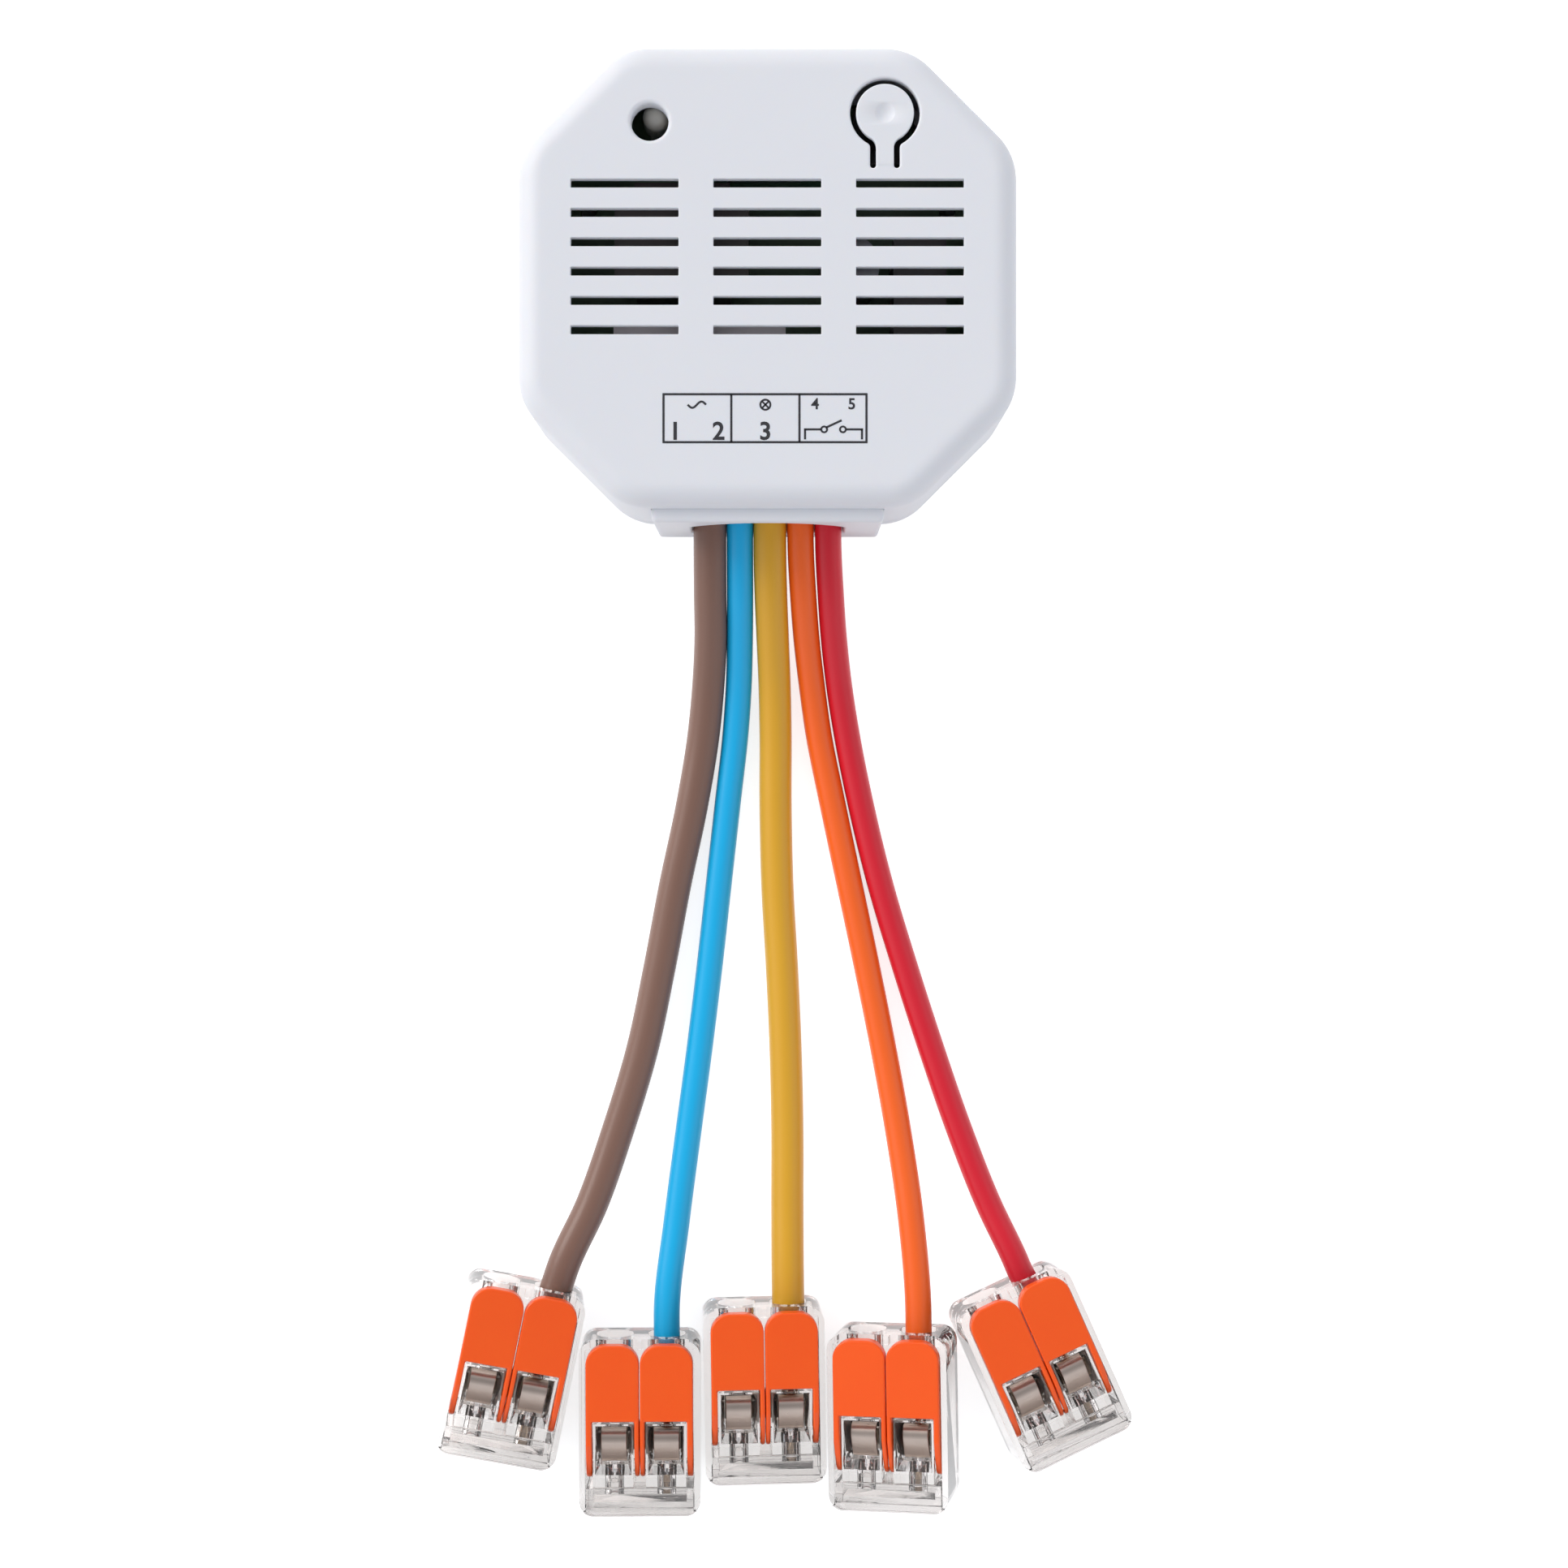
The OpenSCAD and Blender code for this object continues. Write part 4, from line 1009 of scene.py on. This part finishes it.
    def cover(self) -> bpy.types.Object:
        """Make the front cover: one profile carried round the outline, and one round each opening.

        The profile runs down the inner wall, out under the rim, up the outer wall and over a quarter
        round to the front.

        Returns:
            The cover.
        """
        shell = Surface()
        over = quarter(0, self.top - self.edge_r, (-self.edge_r, self.top), 14)
        low = self.rim + self.seam
        profile = [(-self.wall, self.ceiling), (-self.wall, low), (-self.rim_ease, low),
                   (0, low + self.rim_ease), *over, (-self.edge_r - self.margin, self.top)]
        skin = shell.loft(carried(self.outline, profile))
        fronts, backs = [skin[-1]], [skin[0]]
        for outline, ease, end in self.openings():
            round_in = quarter(0, self.top - ease, (ease, self.top), 5)[::-1]
            hole = shell.loft(carried(outline, [(ease + self.hole_margin, self.top), *round_in, *end]))
            fronts.append(hole[0])
            backs.append(hole[-1])
        shell.fill(fronts)
        shell.fill(backs, -UP)
        piece = shell.piece("front_cover_moulded", "case_plastic")
        self.notch(piece)
        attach(piece, "module")
        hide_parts("front_cover")
        return piece

    def notch(self, cover: bpy.types.Object) -> None:
        """Cut the cover's wall open where the collar stands, with a box from the rim up.

        Args:
            cover: The cover, whose mesh is changed.
        """
        beside, above = self.notch_gap
        depth, corner, low = self.notch_box
        box = rounded_box((self.collar[0] + 2 * beside, depth), corner, 2, (0, -self.length / 2))
        tool = Surface()
        tool.capped(carried(box, [(0, low), (0, self.collar[1] + above)]))
        cutter = tool.piece("collar_cutter", "case_plastic")
        cut = cover.modifiers.new("collar_notch", "BOOLEAN")
        cut.object = cutter
        cut.solver = "EXACT"
        graph = bpy.context.evaluated_depsgraph_get()
        mesh = bpy.data.meshes.new_from_object(cover.evaluated_get(graph))
        cover.modifiers.clear()
        cover.data = mesh
        mesh.name = cover.name
        bpy.data.objects.remove(cutter)
        mesh.set_sharp_from_angle(angle=math.radians(CREASE))

    def button(self) -> bpy.types.Object:
        """Make the button: the tongue's outline with eased edges, a dimple, a boss and a post below.

        The dimple is a bowl: its depth falls with the square of the distance from its middle.

        Returns:
            The button.
        """
        tongue = Surface()
        ease, under = self.tongue_ease, self.top - self.tongue_t
        over = quarter(0, self.top - ease, (-ease, self.top), 5)
        skin = tongue.loft(carried(self.tongue, [(0, under), *over, (-ease - self.tongue_margin, self.top)]))
        rim, depth = self.dimple
        share = np.linspace(1, self.dimple_end, 10).tolist()
        bowl = carried(circle(0, self.button_at, 40),
                       [(rim * s, self.top - depth * (1 - s * s)) for s in share])
        dip = tongue.loft(bowl)
        tongue.fill([dip[-1]])
        tongue.fill([skin[-1], dip[0]])
        tongue.fill([skin[0]], -UP)
        post_r, post_l = self.post
        ease = self.post_ease
        for radius, low, high in ((self.button_r - self.boss_inset, self.ceiling, under + ease),
                                  (post_r, self.ceiling - post_l, self.ceiling + ease)):
            tongue.capped(carried(circle(radius, self.button_at), [(-ease, low), (0, low + ease), (0, high)]))
        piece = tongue.piece("button_tongue", "case_plastic")
        x, y = self.button_at
        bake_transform(piece)
        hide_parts("button")
        return piece

    def arch(self, grow: float) -> Array:
        """Mouth of the collar: a flat sill, upright sides and a shallow arc as crown.

        Args:
            grow: Growth of the outline.

        Returns:
            The ring, (points, 2), across and up.
        """
        half, sill, crown = self.mouth[0] / 2, self.mouth[1], self.mouth[2]
        radius = (half ** 2 + self.mouth_rise ** 2) / (2 * self.mouth_rise)
        middle = crown - radius
        start = math.degrees(math.asin((radius - self.mouth_rise) / radius))
        bow = arcs([(0, middle)], radius + grow, start, 180 - 2 * start, 25)
        return np.concatenate([[(half + grow, sill - grow)], bow, [(-half - grow, sill - grow)]])

    def collar_block(self) -> Surface:
        """Make the collar: a rounded box whose front is let in by the mouth, with the leads' slot behind it.

        Returns:
            The collar in the module's frame.
        """
        deep, (wide, high) = self.collar_depth, self.collar
        back = deep - self.mouth_depth
        body = rounded_box((wide, high), self.collar_corner, 6, (0, high / 2))
        over = quarter(0, deep - self.collar_ease, (-self.collar_ease, deep), 7)
        lip = quarter(0, deep - self.mouth_ease, (self.mouth_ease, deep), 5)[::-1]
        sill, (beside, above) = self.mouth[1], self.lead_slot_inset
        slot_high = self.lead_slot_top - sill - 2 * above
        slot = rounded_box((self.mouth[0] - 2 * beside, slot_high), self.lead_slot_corner, 4,
                           (0, sill + above + slot_high / 2))
        block = Surface()
        outside = block.loft(carried(body, [(0, 0), *over, (-self.collar_ease - self.hole_margin, deep)]))
        flare = block.loft(carried(self.arch, [(self.mouth_ease + self.mouth_margin, deep), *lip, (0, back)]))
        bore = block.loft(carried(slot, [(0, back), (0, 0)]))
        block.fill([outside[-1], flare[0]])
        block.fill([flare[-1], bore[0]])
        block.fill([outside[0], bore[-1]], -UP)
        return block.placed(lambda p: np.column_stack([p[:, 0], self.collar_back - p[:, 2], p[:, 1]]))

    def rear(self) -> bpy.types.Object:
        """Make the rear case: a tray of one profile carried round the outline, and the collar on it.

        The profile runs round the foot, up the outer wall, in over the rim, up and over the lip that
        stands inside the cover's wall, and down to the floor.

        Returns:
            The rear case.
        """
        inside, lip_top = -self.wall - self.lip_gap, 2 * self.rim
        profile = [(-self.margin, 0), *self.foot, (0, self.rim - self.rim_ease), (-self.rim_ease, self.rim),
                   (inside, self.rim), (inside, lip_top), (inside - self.lip_t, lip_top),
                   (inside - self.lip_t, self.floor)]
        tray = Surface()
        skin = tray.loft(carried(self.outline, profile))
        tray.fill([skin[0]], -UP)
        tray.fill([skin[-1]])
        tray.join(self.collar_block())
        piece = tray.piece("rear_case_moulded", "case_plastic")
        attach(piece, "module")
        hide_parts("rear_case")
        return piece


@dataclass(frozen=True)
class Sign:
    """A circuit sign about its own middle: circles as middle, radius and pen, lines as pen and points."""

    circles: tuple[tuple[Pair, float, float], ...]
    lines: tuple[tuple[float, Sequence[Pair] | Array], ...]


# One period of a wave: y = 0.32 sin(pi x / 0.95).
PHASE = np.linspace(-1, 1, 25)
WAVE = Sign((), ((0.22, np.column_stack([0.95 * PHASE, 0.32 * np.sin(math.pi * PHASE)])),))
# A lamp: a circle with a slanted cross in it.
LAMP = Sign((((0, 0), 0.52, 0.2),),
            ((0.18, ((-0.34, -0.34), (0.34, 0.34))), (0.18, ((-0.34, 0.34), (0.34, -0.34)))))
# An open switch: two contacts, a wire from each that turns down near its end, and the blade.
SWITCH = Sign((((-0.97, 0), 0.3, 0.2), ((0.97, 0), 0.3, 0.2)),
              ((0.22, ((-1.3, 0), (-3.06, 0))), (0.22, ((-2.95, 0), (-2.95, -1.04))),
               (0.22, ((1.3, 0), (3.06, 0))), (0.22, ((2.95, 0), (2.95, -1.04))),
               (0.22, ((-0.75, 0.2), (0.84, 0.94)))))


@dataclass
class Panel:
    """Printed panel on the front: a box of three cells with plain numbers and common circuit signs."""

    base: float
    left: float = -10.87
    right: float = 10.39
    low: float = -17.47
    high: float = -12.27
    dividers: Pair = (-3.73, 3.33)
    pen: float = 0.23
    corner: float = 0.06
    ink_top: float = 19.999
    bold: float = 0.02
    # Each kind of number: its size and its distance from the middle of its cell
    large: Pair = (2.6, 2.25)
    small: Pair = (1.6, 1.9)
    # Rows: above the box's lower line or below its upper one
    large_rise: float = 0.4
    switch_rise: float = 1.44
    sign_drop: float = 1.2
    small_drop: float = 1.65
    ink: Surface = field(default_factory=Surface)

    def slab(self, ring: Array, hole: Array | None = None) -> None:
        """Print one closed shape: its outline carried up by the ink's thickness.

        Args:
            ring: Its outline, counter-clockwise.
            hole: Outline of a hole in it, counter-clockwise.
        """
        rise = [(0, self.base), (0, self.ink_top)]
        outer = self.ink.loft(carried(lambda _: ring, rise))
        inner = [] if hole is None else [self.ink.loft(carried(lambda _: hole, rise[::-1]))]
        self.ink.fill([outer[1]] + [h[0] for h in inner])
        self.ink.fill([outer[0]] + [h[1] for h in inner], -UP)

    def stroke(self, line: Array, pen: float) -> None:
        """Print a line of a given width: its points moved to both sides by half the width.

        Args:
            line: Points of the line, (points, 2).
            pen: Width of the line.
        """
        way = np.gradient(line, axis=0)
        way /= np.linalg.norm(way, axis=1, keepdims=True)
        side = np.column_stack([way[:, 1], -way[:, 0]]) * pen / 2
        self.slab(np.concatenate([line + side, (line - side)[::-1]]))

    def sign(self, sign: Sign, at: Pair) -> None:
        """Print a sign.

        Args:
            sign: The sign.
            at: Where its middle goes.
        """
        for middle, radius, pen in sign.circles:
            spot = np.add(middle, at)
            self.slab(circle(radius + pen / 2, spot, 28)(0), circle(radius - pen / 2, spot, 28)(0))
        for pen, line in sign.lines:
            self.stroke(np.add(line, at), pen)

    def number(self, figure: str, at: Pair, size: float) -> None:
        """Print a plain number in Blender's own letters.

        Args:
            figure: The number.
            at: The middle of its foot.
            size: Size of the letters.
        """
        curve = bpy.data.curves.new("figure", "FONT")
        curve.body = figure
        curve.size = size
        curve.align_x = "CENTER"
        curve.resolution_u = 4
        curve.offset = self.bold * size
        curve.extrude = (self.ink_top - self.base) / 2
        text = in_scene("figure", curve)
        graph = bpy.context.evaluated_depsgraph_get()
        mesh = bpy.data.meshes.new_from_object(text.evaluated_get(graph))
        self.ink.absorb(mesh, (at[0], at[1], (self.ink_top + self.base) / 2))
        bpy.data.objects.remove(text)
        bpy.data.curves.remove(curve)
        bpy.data.meshes.remove(mesh)

    def build(self) -> bpy.types.Object:
        """Make the print: the box with its cells, the numbers and the signs.

        Returns:
            The print.
        """
        mid = ((self.left + self.right) / 2, (self.low + self.high) / 2)
        size = np.array([self.right - self.left, self.high - self.low])
        self.slab(rounded_box(size, self.corner, 3, mid)(0),
                  rounded_box(size - 2 * self.pen, self.corner / 2, 3, mid)(0))
        for x in self.dividers:
            self.stroke(np.array([[x, self.low + self.pen / 2], [x, self.high - self.pen / 2]]), self.pen)
        cells = [self.left, *self.dividers, self.right]
        first, second, third = [(a + b) / 2 for a, b in zip(cells, cells[1:])]
        height, beside = self.large
        for figure, x in (("1", first - beside), ("2", first + beside), ("3", second)):
            self.number(figure, (x, self.low + self.large_rise), height)
        height, beside = self.small
        for figure, x in (("4", third - beside), ("5", third + beside)):
            self.number(figure, (x, self.high - self.small_drop), height)
        self.sign(WAVE, (first, self.high - self.sign_drop))
        self.sign(LAMP, (second, self.high - self.sign_drop))
        self.sign(SWITCH, (third, self.low + self.switch_rise))
        piece = self.ink.piece("front_print", "case_plastic", INK)
        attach(piece, "module")
        return piece


@dataclass
class Board:
    """What the case holds: the CAD solids of the board and its parts, each with its own finish."""

    slots: dict[str, str] = field(default_factory=lambda: {
        row["node"]: row["material_slot"] for row in frame["record"]["subparts"]})
    kept: tuple[str, ...] = ("circuit_board", "relay_base", "relay_cover", "relay_coil", "relay_yoke",
                             "relay_armature", "relay_contacts", "transformer", "smoothing_capacitor",
                             "film_capacitor", "fuse", "radio_board", "radio_shield", "tact_switch",
                             "tact_plunger", "status_led")

    def dress(self) -> None:
        """Give each kept node its finish."""
        for node in self.kept:
            body = frame["nodes"][node]
            body.data.materials.clear()
            body.data.materials.append(FINISHES[self.slots[node]].material())
            LOG.info("%s: dressed", node)


SEATS = {
    Wire.BROWN: Seat(-28.53, -116.55, -11.5, 6.0),
    Wire.BLUE: Seat(-13.99, -122.52, 0.2, 0.7),
    Wire.YELLOW: Seat(-0.66, -119.0, 0.9, 2.7),
    Wire.ORANGE: Seat(14.47, -121.75, 0.9, -12.4),
    Wire.RED: Seat(29.21, -116.43, 24.0, 7.2),
}
LEADS = (
    Lead(Wire.BROWN, Gauge.HEAVY, -6.3, SEATS[Wire.BROWN],
         ((-6.3, -27.5, 6.9), (-6.3, -32, 6.1), (-6.3, -37, 4.4), (-6.6, -42, 2.8), (-7.1, -47, 2),
          (-8.4, -55, 1.8), (-10.3, -64, 1.8), (-12, -73, 1.8), (-13.9, -82, 1.8), (-16.6, -91, 2.1),
          (-19.4, -99, 2.8)), 1.8, 0.3, 7.0),
    Lead(Wire.BLUE, Gauge.LIGHT, -3.05, SEATS[Wire.BLUE],
         ((-3.05, -27.5, 6.8), (-3.05, -32, 6), (-3.1, -37, 4.2), (-3.25, -42, 2.6), (-3.6, -47, 1.8),
          (-4.5, -55, 1.5), (-5.5, -64, 1.5), (-6.5, -73, 1.5), (-7.6, -82, 1.5), (-8.8, -91, 1.7),
          (-10.1, -101, 2.4)), 1.3),
    Lead(Wire.YELLOW, Gauge.HEAVY, 0.2, SEATS[Wire.YELLOW],
         ((0.2, -27.5, 6.9), (0.3, -32, 6.1), (0.5, -37, 4.4), (0.7, -42, 2.8), (0.8, -47, 2),
          (0.8, -55, 1.8), (1, -64, 1.8), (1.5, -73, 1.8), (1.9, -82, 1.8), (2.1, -91, 2),
          (2.1, -99, 2.6)), 1.8),
    Lead(Wire.ORANGE, Gauge.LIGHT, 3.5, SEATS[Wire.ORANGE],
         ((3.55, -27.5, 6.8), (3.8, -32, 6), (4.2, -37, 4.2), (4.8, -42, 2.6), (5.5, -47, 1.8),
          (7.1, -55, 1.5), (9, -64, 1.5), (10.9, -73, 1.5), (12.7, -82, 1.7), (14.3, -91, 2.7),
          (15.7, -101, 4.3)), 1.3),
    Lead(Wire.RED, Gauge.LIGHT, 6.5, SEATS[Wire.RED],
         ((6.55, -27.5, 6.8), (6.8, -32, 6), (7.2, -37, 4.2), (7.8, -42, 2.6), (8.6, -47, 1.8),
          (10.2, -55, 1.5), (12.4, -64, 1.5), (15.1, -73, 1.5), (18, -82, 1.6), (21.1, -91, 2.1),
          (24.25, -99, 2.9)), 1.3, -0.5),
)


def main() -> None:
    """Build the scene piece by piece."""
    logging.basicConfig(level=logging.INFO, format="%(name)s %(message)s")
    Studio().build()
    jackets = {lead.wire: lead.build() for lead in LEADS}
    case = Case()
    for piece in (case.cover(), case.button(), case.rear(), Panel(case.top).build()):
        LOG.info("%s: %d points", piece.name, len(piece.data.vertices))
    Board().dress()
    for lead in LEADS:
        bare = lead.bare_ends()
        on_end = Splice(lead.wire).build()
        lead.declare(jackets[lead.wire], on_end + [bare])
        for piece in [jackets[lead.wire], bare] + on_end:
            LOG.info("%s: %d points", piece.name, len(piece.data.vertices))


if __name__ == "__main__":
    main()
